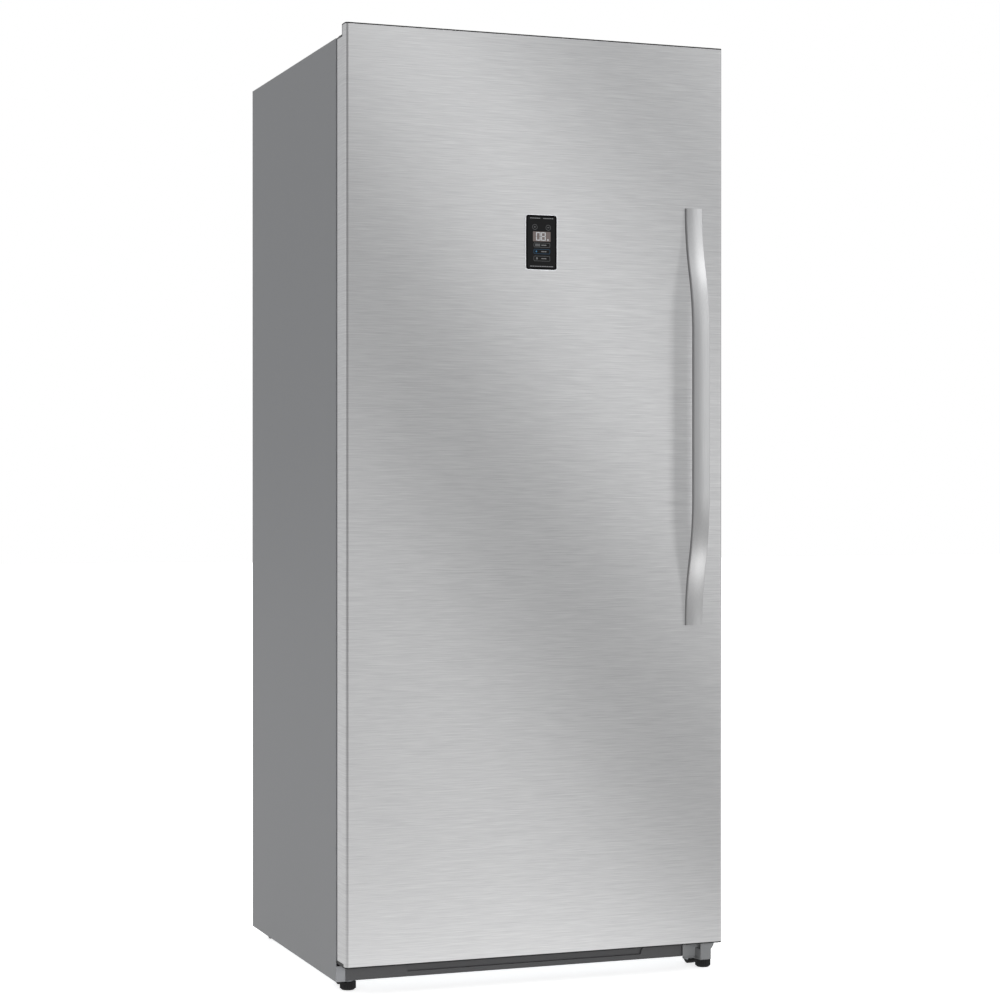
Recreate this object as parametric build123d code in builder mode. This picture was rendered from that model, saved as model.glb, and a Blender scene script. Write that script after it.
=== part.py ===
from build123d import *
import math
import os

os.makedirs("parts", exist_ok=True)

# Upright freezer, one door hung on the left.  Millimetres; X to the right, Y to the back, Z up.
# The origin is on the floor, under the middle of the overall box.

# ---- Overall ----
width = 825.0
cabinet_depth = 670.5
cabinet_height = 1898.5
toe_clearance = 20.0  # floor to the lower edge of the cabinet's sides
door_thickness = 61.0
door_rise = 18.0  # top of the door's wrap above the cabinet
skin_bottom = 61.5  # floor to the lower edge of the door's wrap
seal_gap = 8.0  # door to cabinet, filled by the gasket
handle_reach = 47.0  # front of the handle to front of the door

# ---- Walls ----
steel = 1.0
liner_wall = 2.0
wall_side = 60.0
wall_top = 70.0
wall_back = 60.0
floor_height = 130.0  # floor of the food space above the room's floor
front_flange = 40.0
rear_flange = 14.0
toe_flange = 19.5
running_gap = 0.3  # between parts that move past each other

# ---- Places worked out from those ----
half = width / 2
total_depth = cabinet_depth + seal_gap + door_thickness + handle_reach
y_door = -total_depth / 2 + handle_reach
y_door_back = y_door + door_thickness
y_cab = y_door_back + seal_gap
y_back = y_cab + cabinet_depth
z_cab = toe_clearance
z_top = z_cab + cabinet_height
skin_top = z_top + door_rise
skin_height = skin_top - skin_bottom
inner_half = half - steel
cavity_half = half - wall_side
cavity_back = y_back - wall_back
ceiling = z_top - wall_top
flange_half = half - front_flange

# ---- Toe zone and base ----
base_plate = 1.2
base_height = 40.0  # underside of the bottom plate
base_setback = 10.0  # its front edge behind the cabinet's front
toe_depth = 34.0  # recess in the foam for the hinge and the foot bracket
rail_low = 62.0
rail_high = 118.0
toe_flange_gap = 10.0  # between the sides' toe flange and the rail
base_return = 15.0  # side returns and upturned rear edge of the bottom plate
base_top = base_height + base_plate

# ---- Machine bay and hump ----
bay_depth = 260.0
bay_height = 290.0
hump_wall = 53.0
hump_top = 340.0
hump_round = 18.0
bay_front = y_back - bay_depth
hump_front = bay_front - hump_wall

# ---- Hinge ----
hinge_inset = 22.0  # pin from the door's side
hinge_setback = 36.0  # pin from the door's front
pin_radius = 5.0
pin_fit = 0.05
bush_wall = 3.0
bush_flange = 1.5
bush_flange_thick = 0.7
hinge_x = -half + hinge_inset
hinge_y = y_door + hinge_setback
bush_radius = pin_radius + pin_fit + bush_wall

# ---- Screws ----
screw_radius = 2.5
screw_length = 9.0
screw_head = 4.5
hinge_head_high = 2.0
cover_head_high = 0.9

upward = (Align.CENTER, Align.CENTER, Align.MIN)
downward = (Align.CENTER, Align.CENTER, Align.MAX)


def front_plane(y):
    """Upright plane at depth y, seen from the front: local x is X, local y is Z."""
    return Plane((0, y, 0), x_dir=(1, 0, 0), z_dir=(0, -1, 0))


def block(x_span, y_span, z_span, mode=Mode.ADD):
    """Rectangular block between two limits on each axis."""
    spans = (x_span, y_span, z_span)
    middle = [sum(span) / 2 for span in spans]
    size = [abs(span[1] - span[0]) for span in spans]
    with Locations(tuple(middle)):
        Box(*size, mode=mode)


def screw(place, head_high):
    """Screw set on a face: its head stands out of it and its shank goes in."""
    with Locations(place):
        Cylinder(screw_head, head_high, align=upward)
        Cylinder(screw_radius, screw_length, align=downward)


def cup(middle, size, corner, low, high, wall, draft=0.0, opens_up=True):
    """Thin-walled moulding with rounded corners, open at its top or else at its bottom."""
    floor = low + wall if opens_up else low
    roof = high if opens_up else high - wall
    for z, top, inset, mode in ((low, high, 0, Mode.ADD), (floor, roof, wall, Mode.SUBTRACT)):
        with BuildSketch(Plane.XY.offset(z)) as plan:
            with Locations(middle):
                RectangleRounded(size[0] - 2 * inset, size[1] - 2 * inset, corner - inset)
        extrude(plan.sketch, amount=top - z, taper=draft, mode=mode)


def frame_face(plane, half_x, low, high, border):
    """Rectangular ring on an upright plane, of even width."""
    with BuildSketch(plane) as ring:
        with Locations((0, (low + high) / 2)):
            Rectangle(2 * half_x, high - low)
            Rectangle(2 * (half_x - border), high - low - 2 * border, mode=Mode.SUBTRACT)
    return ring.sketch


# ==== Screws of the cabinet: two hinges, machine bay cover, kick plate, foot bracket ====
upper_plate = 3.0
upper_screw_across = (38.0, 62.0)  # from the pin
upper_screw_setbacks = (26.0, 52.0)  # from the cabinet's front
lower_plate = 4.0
lower_screw_across = (26.0, 46.0)
lower_screw_setback = 8.0  # from the bottom plate's front edge
arm_bottom = 54.0
hinge_base_width = 66.0
hinge_overhang = 13.0  # lower arm past the pin, and its left edge from the pin
cover_sheet = 1.2
cover_lift = 3.0  # bottom plate to the machine bay cover
cover_head = 2.0  # cover to the bay's ceiling
cover_screw_inset = 24.0
cover_screw_lift = 6.0
cover_screw_drop = 8.0
cover_low = base_top + cover_lift
cover_high = bay_height - cover_head
cover_back = y_back - steel
cover_screw_x = inner_half - cover_screw_inset
cover_screw_rows = (cover_low + cover_screw_lift, cover_high - cover_screw_drop)

with BuildPart() as cabinet_screws:
    for x in upper_screw_across:
        for y in upper_screw_setbacks:
            screw(Location((hinge_x + x, y_cab + y, z_top + upper_plate)), hinge_head_high)
    for x in lower_screw_across:
        place = (hinge_x + x, y_cab + base_setback + lower_screw_setback, base_top + lower_plate)
        screw(Location(place), hinge_head_high)
    for x in (-cover_screw_x, 0, cover_screw_x):
        for z in cover_screw_rows:
            screw(Location((x, cover_back, z), (-90, 0, 0)), cover_head_high)

# ==== Cabinet shell ====
with BuildPart() as side_panel_left:
    block((-half, -inner_half), (y_cab, y_back), (z_cab, z_top))
    block((-inner_half, -flange_half), (y_cab, y_cab + steel), (rail_low, z_top - steel))
    block((-inner_half, -half + toe_flange), (y_cab, y_cab + steel), (z_cab, rail_low - toe_flange_gap))
    block((-inner_half, -half + rear_flange), (y_back - steel, y_back), (z_cab, z_top - steel))

with BuildPart() as side_panel_right:
    mirror(side_panel_left.part, about=Plane.YZ)

with BuildPart() as top_panel:
    block((-inner_half, inner_half), (y_cab, y_back), (z_top - steel, z_top))
    block((-flange_half, flange_half), (y_cab, y_cab + steel), (z_top - front_flange, z_top - steel))
    add(cabinet_screws.part, mode=Mode.SUBTRACT)

with BuildPart() as back_panel:
    depth_span = (y_back - 2 * steel, y_back - steel)
    block((-inner_half, inner_half), depth_span, (bay_height + steel, z_top - steel))

# Bottom plate: side returns, an upturned rear edge for the cover and a threaded boss for the left foot.
foot_radius = 16.5
foot_height = 16.4
foot_left_inset = 31.0
foot_left_setback = 20.0
foot_right_inset = 19.5
foot_right_reach = 15.0  # in front of the cabinet, under its bracket
foot_left = (-half + foot_left_inset, y_cab + foot_left_setback)
foot_right = (half - foot_right_inset, y_cab - foot_right_reach)
stud_radius = 5.0
stud_fit = 0.05
boss_radius = 10.0
boss_low = foot_height + running_gap

with BuildPart() as bottom_plate:
    block((-inner_half, inner_half), (y_cab + base_setback, y_back - steel), (base_height, base_top))
    for side in (-1, 1):
        outer = side * inner_half
        return_span = (outer, outer - side * base_plate)
        block(return_span, (y_cab + base_setback, y_back - steel), (base_height - base_return, base_height))
    upturn = (cover_back - cover_sheet - base_plate, cover_back - cover_sheet)
    block((-inner_half, inner_half), upturn, (base_top, base_top + base_return))
    with Locations((*foot_left, boss_low)):
        Cylinder(boss_radius, base_height - boss_low, align=upward)
        Cylinder(stud_radius + stud_fit, base_top - boss_low, align=upward, mode=Mode.SUBTRACT)
    add(cabinet_screws.part, mode=Mode.SUBTRACT)

# Front rail: Z section between the sides, its foot standing on the bottom plate.
with BuildPart() as front_rail:
    block((-flange_half, flange_half), (y_cab, y_cab + steel), (rail_low, rail_high))
    block((-inner_half, inner_half), (y_cab + steel, y_cab + toe_depth), (rail_low, rail_low + steel))
    block((-inner_half, inner_half), (y_cab + toe_depth - steel, y_cab + toe_depth), (base_top, rail_low))

# ==== Kick plate with a long pressed recess and two tabs that lie on the bottom plate ====
bracket_width = 60.0  # foot bracket, from the cabinet's right side
kick_left = -half + toe_flange
kick_right = half - bracket_width
kick_low = toe_clearance + 0.5
kick_high = 52.0
kick_setback = 3.0
kick_sheet = 1.2
recess_left_inset = 153.0  # from the cabinet's sides
recess_right_inset = 156.0
recess_left = -half + recess_left_inset
recess_right = half - recess_right_inset
recess_low = 31.0
recess_depth = 5.0
recess_slope = 8.0  # its ends lean out towards the top
tab_width = 40.0
tab_gap = 20.0  # tabs to the recess
tab_play = 4.0  # tabs end in front of the rail's foot
tab_back = y_cab + toe_depth - tab_play
kick_front = y_cab + kick_setback
kick_back = kick_front + kick_sheet


def recess_face(y, grow):
    """Outline of the pressed recess, open at the plate's top edge."""
    with BuildSketch(front_plane(y)) as face:
        with BuildLine():
            Polyline(
                (recess_left - recess_slope - grow, kick_high + grow),
                (recess_left - grow, recess_low - grow),
                (recess_right + grow, recess_low - grow),
                (recess_right + recess_slope + grow, kick_high + grow),
                close=True,
            )
        make_face()
    return face.sketch


with BuildPart() as kick_plate:
    block((kick_left, kick_right), (kick_front, kick_back), (kick_low, kick_high))
    extrude(recess_face(kick_back, kick_sheet), amount=-recess_depth)
    extrude(recess_face(kick_front, 0), amount=-recess_depth, mode=Mode.SUBTRACT)
    block(
        (kick_left, kick_right),
        (kick_front, kick_back + recess_depth),
        (kick_high, kick_high + 2 * kick_sheet),
        mode=Mode.SUBTRACT,
    )
    for x in (recess_left - tab_gap - tab_width, recess_right + tab_gap):
        block((x, x + tab_width), (kick_back, tab_back), (base_top, base_top + kick_sheet))

# ==== Inner liner, foam and machine bay ====
lip_low = rail_high
lip_high = z_top - front_flange
shelf_setback = 130.0
duct_room = 77.0  # from the duct cover to the back of the food space
shelf_front = y_cab + shelf_setback
duct_front = cavity_back - duct_room
ledge = 10.0
shelf_count = 4
shelf_low = 570.0
shelf_head = 318.5  # room above the top shelf
shelf_pitch = (ceiling - shelf_head - shelf_low) / (shelf_count - 1)
shelf_levels = [shelf_low + n * shelf_pitch for n in range(shelf_count)]


def cavity_profile(grow, front):
    """Side view of the food space with its hump, grown all round by a wall."""
    with BuildSketch(Plane.YZ) as profile:
        with BuildLine():
            Polyline(
                (front, floor_height),
                (hump_front, floor_height),
                (hump_front, hump_top),
                (cavity_back, hump_top),
                (cavity_back, ceiling),
                (front, ceiling),
                close=True,
            )
        make_face()
        fillet(profile.vertices().group_by(Axis.X)[1:], hump_round)
        if grow:
            offset(amount=grow, kind=Kind.INTERSECTION)
    return profile.sketch


# ==== Door switch behind the liner's top lip ====
switch_x = 200.0
switch_z = (ceiling + lip_high) / 2
switch_rest = seal_gap - running_gap
plunger_radius = 4.0
plunger_length = 24.0
plunger_fit = 0.05
switch_wide = 26.0
switch_high = 16.0
switch_deep = 28.0
switch_end_wall = 4.0
switch_flange = 1.5
switch_flange_wide = 36.0
switch_flange_high = 22.0
switch_flange_round = 4.0

with BuildPart(front_plane(y_cab)) as door_switch_body:
    with BuildSketch(front_plane(y_cab + switch_deep)):
        with Locations((switch_x, switch_z)):
            Rectangle(switch_wide, switch_high)
    extrude(amount=switch_deep)
    with BuildSketch(front_plane(y_cab)):
        with Locations((switch_x, switch_z)):
            RectangleRounded(switch_flange_wide, switch_flange_high, switch_flange_round)
    extrude(amount=switch_flange)
    with BuildSketch(front_plane(y_cab - switch_flange)):
        with Locations((switch_x, switch_z)):
            Circle(plunger_radius + plunger_fit)
    extrude(amount=switch_end_wall - switch_flange - switch_deep, mode=Mode.SUBTRACT)

with BuildPart() as door_switch_plunger:
    with BuildSketch(front_plane(y_cab - switch_rest)):
        with Locations((switch_x, switch_z)):
            Circle(plunger_radius)
    extrude(amount=-plunger_length)

with BuildPart() as inner_liner:
    extrude(cavity_profile(liner_wall, y_cab + liner_wall), amount=cavity_half + liner_wall, both=True)
    with BuildSketch(front_plane(y_cab)):
        with Locations((0, (lip_low + lip_high) / 2)):
            Rectangle(2 * flange_half, lip_high - lip_low)
    extrude(amount=-liner_wall)
    extrude(cavity_profile(0, y_cab - liner_wall), amount=cavity_half, both=True, mode=Mode.SUBTRACT)
    for z in shelf_levels:
        for side in (-1, 1):
            wall = side * cavity_half
            block((wall, wall - side * ledge), (shelf_front, duct_front), (z - ledge, z))
    add(door_switch_body.part, mode=Mode.SUBTRACT)
    with BuildSketch(front_plane(y_cab)):
        with Locations((switch_x, switch_z)):
            Circle(plunger_radius + plunger_fit)
    extrude(amount=-liner_wall, mode=Mode.SUBTRACT)

# The bay's lining closes the foam off from the machine compartment; its rear lip holds the cover.
bay_lip = 18.0

with BuildPart() as machine_bay_liner:
    block((-inner_half, inner_half), (bay_front - steel, bay_front), (base_top, bay_height + steel))
    block((-inner_half, inner_half), (bay_front, cover_back), (bay_height, bay_height + steel))
    lip_back = cover_back - cover_sheet
    block((-inner_half, inner_half), (lip_back - steel, lip_back), (bay_height - bay_lip, bay_height))
    add(cabinet_screws.part, mode=Mode.SUBTRACT)

# ==== Hot-wall condenser loops, laid against both side panels in a shallow recess of the foam ====
loop_radius = 2.4
loop_bend = 34.0
loop_pitch = 80.0
loop_runs = 6
loop_low = 420.0
loop_head = 138.5  # from the cabinet's top
loop_setback = 90.0
loop_air = 0.7
loop_margin = 10.0
loop_high = z_top - loop_head
loop_front = y_cab + loop_setback
loop_recess = 2 * loop_radius + loop_air

with BuildPart() as condenser_loops:
    for side in (-1, 1):
        x = side * (inner_half - running_gap - loop_radius)
        route = []
        for run in range(loop_runs):
            y = loop_front + run * loop_pitch
            ends = (loop_low, loop_high) if run % 2 == 0 else (loop_high, loop_low)
            route += [(x, y, z) for z in ends]
        with BuildLine() as path:
            FilletPolyline(*route, radius=loop_bend)
        with BuildSketch(Plane(origin=path.line @ 0, z_dir=path.line % 0)):
            Circle(loop_radius)
        sweep(path=path.line)

with BuildPart() as cabinet_foam:
    block((-inner_half, inner_half), (y_cab + steel, y_back - 2 * steel), (base_top, z_top - steel))
    hollow = cavity_profile(liner_wall, y_cab - liner_wall)
    extrude(hollow, amount=cavity_half + liner_wall, both=True, mode=Mode.SUBTRACT)
    block((-flange_half, flange_half), (y_cab, y_cab + liner_wall), (lip_low, lip_high), mode=Mode.SUBTRACT)
    block((-half, half), (y_cab, y_cab + toe_depth), (0, rail_low + steel), mode=Mode.SUBTRACT)
    block((-half, half), (bay_front - steel, y_back), (0, bay_height + steel), mode=Mode.SUBTRACT)
    for side in (-1, 1):
        outer = side * inner_half
        block(
            (outer, outer - side * loop_recess),
            (loop_front - loop_margin, loop_front + (loop_runs - 1) * loop_pitch + loop_margin),
            (loop_low - loop_margin, loop_high + loop_margin),
            mode=Mode.SUBTRACT,
        )
    block(
        (switch_x - switch_wide / 2, switch_x + switch_wide / 2),
        (y_cab, y_cab + switch_deep),
        (switch_z - switch_high / 2, switch_z + switch_high / 2),
        mode=Mode.SUBTRACT,
    )
    add(cabinet_screws.part, mode=Mode.SUBTRACT)

# ==== Machine bay cover with louvre slots ====
louvre_columns = 3
louvre_rows = 9
louvre_pitch = 20.0
louvre_gap = 30.0
louvre_long = 150.0
louvre_high = 6.0
cover_play = 0.5  # at each side
gland_radius = 9.0
gland_bore = 4.5
gland_length = 12.0
gland_rim = 4.0
gland_rim_thick = 0.8
gland_inset = 60.0
gland_lift = 30.0
gland_x = inner_half - gland_inset
gland_z = cover_low + gland_lift

with BuildPart() as machine_bay_cover:
    with BuildSketch(front_plane(cover_back)):
        with Locations((0, (cover_low + cover_high) / 2)):
            Rectangle(2 * (inner_half - cover_play), cover_high - cover_low)
            with GridLocations(louvre_long + louvre_gap, louvre_pitch, louvre_columns, louvre_rows):
                Rectangle(louvre_long, louvre_high, mode=Mode.SUBTRACT)
        with Locations((gland_x, gland_z)):
            Circle(gland_radius, mode=Mode.SUBTRACT)
    extrude(amount=cover_sheet)
    add(cabinet_screws.part, mode=Mode.SUBTRACT)

with BuildPart(front_plane(cover_back)) as cord_gland:
    with Locations((gland_x, gland_z, 0)):
        Cylinder(gland_radius, gland_length, align=upward)
        Cylinder(gland_radius + gland_rim, gland_rim_thick, align=downward)
        Hole(gland_bore)

# ==== Compressor, its mounts, drain pan and pipes ====
comp_x = -90.0
comp_setback = 125.0  # its middle behind the bay's front wall
comp_radius = 78.0
comp_height = 165.0
comp_dome = 34.0
comp_base_round = 24.0
comp_seam = 5.0  # welded rim round the shell's middle
comp_seam_high = 6.0
relay_size = (44.0, 64.0, 52.0)
relay_out = 8.0  # middle of the relay cover outside the shell's radius
relay_up = 30.0
mount_radius = 12.0
mount_height = 14.0
mount_x = 70.0
mount_y = 55.0
foot_sheet = 2.5
foot_sheet_round = 10.0
comp_y = bay_front + comp_setback
comp_low = base_top + mount_height + foot_sheet

with BuildPart() as compressor_mounts:
    with Locations((comp_x, comp_y, base_top)):
        with GridLocations(2 * mount_x, 2 * mount_y, 2, 2):
            Cylinder(mount_radius, mount_height, align=upward)

with BuildPart() as compressor:
    with BuildSketch(Plane.XZ) as shell:
        with Locations((comp_radius / 2, comp_height / 2)):
            Rectangle(comp_radius, comp_height)
        low_edge, high_edge = shell.vertices().group_by(Axis.X)[-1].sort_by(Axis.Y)
        fillet(high_edge, comp_dome)
        fillet(low_edge, comp_base_round)
    revolve(axis=Axis.Z)
    with Locations((0, 0, comp_height / 2)):
        Cylinder(comp_radius + comp_seam, comp_seam_high)
    with Locations((comp_radius + relay_out, 0, comp_height / 2 + relay_up)):
        Box(*relay_size)
    with BuildSketch(Plane.XY.offset(-foot_sheet)):
        RectangleRounded(2 * (mount_x + mount_radius), 2 * (mount_y + mount_radius), foot_sheet_round)
    extrude(amount=foot_sheet)
compressor_placed = Pos(comp_x, comp_y, comp_low) * compressor.part

pan_wall = 2.0
pan_size = (250.0, 170.0)
pan_corner = 16.0
pan_flare = 6.0
pan_headroom = 10.0
pan_low = comp_low + comp_height + running_gap
pan_high = bay_height - pan_headroom

with BuildPart() as drain_pan:
    cup((comp_x, comp_y), pan_size, pan_corner, pan_low, pan_high, pan_wall, draft=-pan_flare)

pipe_radius = 3.0
pipe_bend = 14.0
port_height = 45.0  # the ports above the compressor's base
discharge_side = 20.0  # the ports' places off its middle
suction_side = -30.0
riser_out = 60.0  # compressor's side to the rising pipes
suction_out = 20.0  # the suction pipe rises this much further out
discharge_loop = 150.0  # height of the discharge pipe's upper run
riser_front = comp_y - 60.0
drier_radius = 10.0
drier_length = 100.0
drier_lift = 60.0  # above the compressor's base
drier_out = 150.0
drier_side = 30.0
capillary_out = 60.0
capillary_drop = 40.0
drier_x = comp_x + comp_radius + drier_out
drier_y = comp_y + drier_side
drier_low = comp_low + drier_lift
discharge_x = comp_x - comp_radius - riser_out
suction_x = comp_x + comp_radius + riser_out + suction_out
port_z = comp_low + port_height

with BuildPart() as refrigerant_pipes:
    discharge = [
        (comp_x - comp_radius, comp_y + discharge_side, port_z),
        (discharge_x, comp_y + discharge_side, port_z),
        (discharge_x, comp_y + discharge_side, comp_low + discharge_loop),
        (discharge_x, riser_front, comp_low + discharge_loop),
        (discharge_x, riser_front, bay_height),
    ]
    suction = [
        (comp_x + comp_radius, comp_y + suction_side, port_z),
        (suction_x, comp_y + suction_side, port_z),
        (suction_x, riser_front, port_z),
        (suction_x, riser_front, bay_height),
    ]
    capillary = [
        (drier_x, drier_y, drier_low),
        (drier_x, drier_y, drier_low - capillary_drop),
        (drier_x + capillary_out, drier_y, drier_low - capillary_drop),
        (drier_x + capillary_out, drier_y, bay_height),
    ]
    for route in (discharge, suction, capillary):
        with BuildLine() as path:
            FilletPolyline(*route, radius=pipe_bend)
        with BuildSketch(Plane(origin=path.line @ 0, z_dir=path.line % 0)):
            Circle(pipe_radius)
        sweep(path=path.line)
    with Locations((drier_x, drier_y, drier_low)):
        Cylinder(drier_radius, drier_length, align=upward)
        Cylinder(pipe_radius, bay_height - drier_low, align=upward)
    add(compressor_placed, mode=Mode.SUBTRACT)

# ==== Evaporator, heater, duct cover and fan ====
coil_half = 250.0
coil_low = 380.0
coil_high = 620.0
coil_setback = 14.0  # behind the duct cover's face
coil_front = duct_front + coil_setback
coil_back = cavity_back - running_gap
fin_count = 24
fin_thick = 2.0
coil_core = 26.0
coil_tube = 4.0
coil_rows = 5

with BuildPart() as evaporator_coil:
    core_front = (coil_front + coil_back) / 2 - coil_core / 2
    row_pitch = (coil_high - coil_low) / coil_rows
    for row in range(coil_rows):
        z = coil_low + (row + 0.5) * row_pitch
        block((-coil_half, coil_half), (core_front, core_front + coil_core), (z - coil_tube, z + coil_tube))
    with Locations((0, (coil_front + coil_back) / 2, (coil_low + coil_high) / 2)):
        with GridLocations(2 * coil_half / (fin_count - 1), 1, fin_count, 1):
            Box(fin_thick, coil_back - coil_front, coil_high - coil_low)
    for row in range(coil_rows - 1):
        side = 1 if row % 2 == 0 else -1
        z = coil_low + (row + 1) * row_pitch
        with BuildLine() as path:
            ThreePointArc(
                (side * coil_half, core_front + coil_core / 2, z - row_pitch / 2),
                (side * (coil_half + row_pitch / 2), core_front + coil_core / 2, z),
                (side * coil_half, core_front + coil_core / 2, z + row_pitch / 2),
            )
        with BuildSketch(Plane(origin=path.line @ 0, z_dir=path.line % 0)):
            Circle(coil_tube)
        sweep(path=path.line)

heater_radius = 4.0
heater_setback = 30.0
heater_rise = 60.0
heater_bend = 12.0
heater_y = coil_front + heater_setback
heater_half = coil_half + (coil_high - coil_low) / coil_rows / 2 + coil_tube + 2 * heater_radius
heater_z = coil_low - running_gap - heater_radius
with BuildPart() as defrost_heater:
    with BuildLine() as path:
        FilletPolyline(
            (-heater_half, heater_y, heater_z + heater_rise),
            (-heater_half, heater_y, heater_z),
            (heater_half, heater_y, heater_z),
            (heater_half, heater_y, heater_z + heater_rise),
            radius=heater_bend,
        )
    with BuildSketch(Plane(origin=path.line @ 0, z_dir=path.line % 0)):
        Circle(heater_radius)
    sweep(path=path.line)

duct_wall = 3.0
duct_half = cavity_half - running_gap
duct_low = hump_top + running_gap
duct_high = ceiling - running_gap
fan_z = 730.0
fan_opening = 68.0
fan_rib = 3.0
fan_rings = (20.0, 36.0, 52.0)
fan_guard_hub = 12.0
vent_columns = 3
vent_long = 180.0
vent_high = 7.0
vent_gap = 20.0
vent_pitch = 16.0
vent_top_rows = 8
vent_top_drop = 120.0  # duct cover's top to the middle of its upper vents
vent_low_rows = 3
vent_low_lift = 50.0
vent_groups = ((duct_high - vent_top_drop, vent_top_rows), (duct_low + vent_low_lift, vent_low_rows))

with BuildPart() as duct_cover:
    block((-duct_half, duct_half), (duct_front, duct_front + duct_wall), (duct_low, duct_high))
    for side in (-1, 1):
        outer = side * duct_half
        block(
            (outer, outer - side * duct_wall),
            (duct_front, cavity_back - running_gap),
            (duct_low + hump_round, duct_high - hump_round),
        )
    with BuildSketch(front_plane(duct_front)):
        for z, rows in vent_groups:
            with Locations((0, z)):
                with GridLocations(vent_long + vent_gap, vent_pitch, vent_columns, rows):
                    Rectangle(vent_long, vent_high)
        with Locations((0, fan_z)):
            Circle(fan_opening)
            for radius in fan_rings:
                Circle(radius + fan_rib / 2, mode=Mode.SUBTRACT)
                Circle(radius - fan_rib / 2)
            Circle(fan_guard_hub, mode=Mode.SUBTRACT)
            with PolarLocations(0, 3):
                Rectangle(2 * fan_opening, fan_rib, mode=Mode.SUBTRACT)
    extrude(amount=-duct_wall, mode=Mode.SUBTRACT)

fan_setback = 22.0
fan_y = duct_front + fan_setback
fan_thick = 14.0
fan_radius = 60.0
fan_hub = 17.0
fan_blades = 5
fan_pitch = 28.0
blade_wide = 34.0
blade_thick = 1.6
blade_root = fan_hub - 3.0  # the blades start inside the hub
blade_tip = fan_radius + 1.0  # and are trimmed to the fan's radius
shaft_radius = 3.0
shaft_fit = 0.05
motor_radius = 26.0
motor_length = 28.0
motor_gap = 3.0
shaft_nose = 2.0  # shaft in front of the fan's hub
motor_y = fan_y + fan_thick / 2 + motor_gap
arm_setback = 10.0
arm_thick = 3.0
arm_wide = 10.0
arm_root = 9.0
post_offset = 76.0
post_radius = 6.0
arm_tip = post_offset + 5.0
post_back = motor_y + arm_setback + arm_thick

with BuildPart(front_plane(fan_y)) as fan_blade:
    with Locations((0, fan_z, 0)):
        with PolarLocations((blade_root + blade_tip) / 2, fan_blades):
            Box(blade_tip - blade_root, blade_wide, blade_thick, rotation=(fan_pitch, 0, 0))
        Cylinder(fan_radius, 2 * blade_wide, mode=Mode.INTERSECT)
        Cylinder(fan_hub, fan_thick)
        Hole(shaft_radius + shaft_fit)

with BuildPart() as fan_motor:
    with BuildSketch(front_plane(motor_y)):
        with Locations((0, fan_z)):
            Circle(motor_radius)
    extrude(amount=-motor_length)
    with BuildSketch(front_plane(motor_y)):
        with Locations((0, fan_z)):
            Circle(shaft_radius)
    extrude(amount=motor_gap + fan_thick + shaft_nose)
    # Three-armed carrier with posts that stand on the back of the duct cover.
    with BuildSketch(front_plane(motor_y + arm_setback)):
        with Locations((0, fan_z)):
            with PolarLocations((arm_root + arm_tip) / 2, 3, start_angle=90):
                Rectangle(arm_tip - arm_root, arm_wide)
    extrude(amount=-arm_thick)
    with BuildSketch(front_plane(post_back)):
        with Locations((0, fan_z)):
            with PolarLocations(post_offset, 3, start_angle=90):
                Circle(post_radius)
    extrude(amount=post_back - duct_front - duct_wall)

# ==== Hinges ====
nose_radius = 9.0
plate_left = 10.0
plate_far_left = 30.0  # its rear edge starts further in, which clears the door's cap when open
plate_right = 76.0
plate_near = 12.0  # plate's wide part behind the cabinet's front
plate_far = 66.0
pin_head = 8.0
pin_head_high = 2.0
pocket_floor = z_top - 1.0  # floor of the hinge pocket in the door's top cap
upper_pin_length = 22.0
lower_pin_length = 22.0

with BuildPart() as hinge_pins:
    with Locations((hinge_x, hinge_y, z_top + upper_plate)):
        Cylinder(pin_head, pin_head_high, align=upward)
        Cylinder(pin_radius, upper_pin_length + upper_plate, align=downward)
    with Locations((hinge_x, hinge_y, arm_bottom)):
        Cylinder(pin_radius, lower_pin_length + lower_plate, align=upward)

with BuildPart() as upper_hinge:
    with BuildSketch(Plane.XY.offset(z_top)) as plate:
        with Locations((hinge_x, hinge_y)):
            Circle(nose_radius)
        with BuildLine():
            Polyline(
                (hinge_x + plate_left, y_cab + plate_near),
                (hinge_x + plate_right, y_cab + plate_near),
                (hinge_x + plate_right, y_cab + plate_far),
                (hinge_x + plate_far_left, y_cab + plate_far),
                close=True,
            )
        make_face()
        make_hull()
    extrude(amount=upper_plate)
    add(hinge_pins.part, mode=Mode.SUBTRACT)
    add(cabinet_screws.part, mode=Mode.SUBTRACT)

cover_wall = 2.0
cover_round = 8.0
cover_draft = 5.0
hinge_cover_high = 18.0
cover_over = 6.0  # past the hinge plate's edges
cover_back_over = 5.0

with BuildPart() as hinge_cover:
    cup(
        (hinge_x + plate_right / 2 + cover_over, y_cab + (plate_near + plate_far) / 2 + cover_back_over),
        (plate_right + cover_over, plate_far - plate_near + 2 * cover_over),
        cover_round,
        z_top,
        z_top + hinge_cover_high,
        cover_wall,
        draft=cover_draft,
        opens_up=False,
    )
    add(upper_hinge.part, mode=Mode.SUBTRACT)

leg_play = 2.0  # lower hinge's leg to the rail's foot
left = hinge_x - hinge_overhang
right = left + hinge_base_width
leg_back = y_cab + toe_depth - leg_play
leg_front = leg_back - lower_plate

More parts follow.
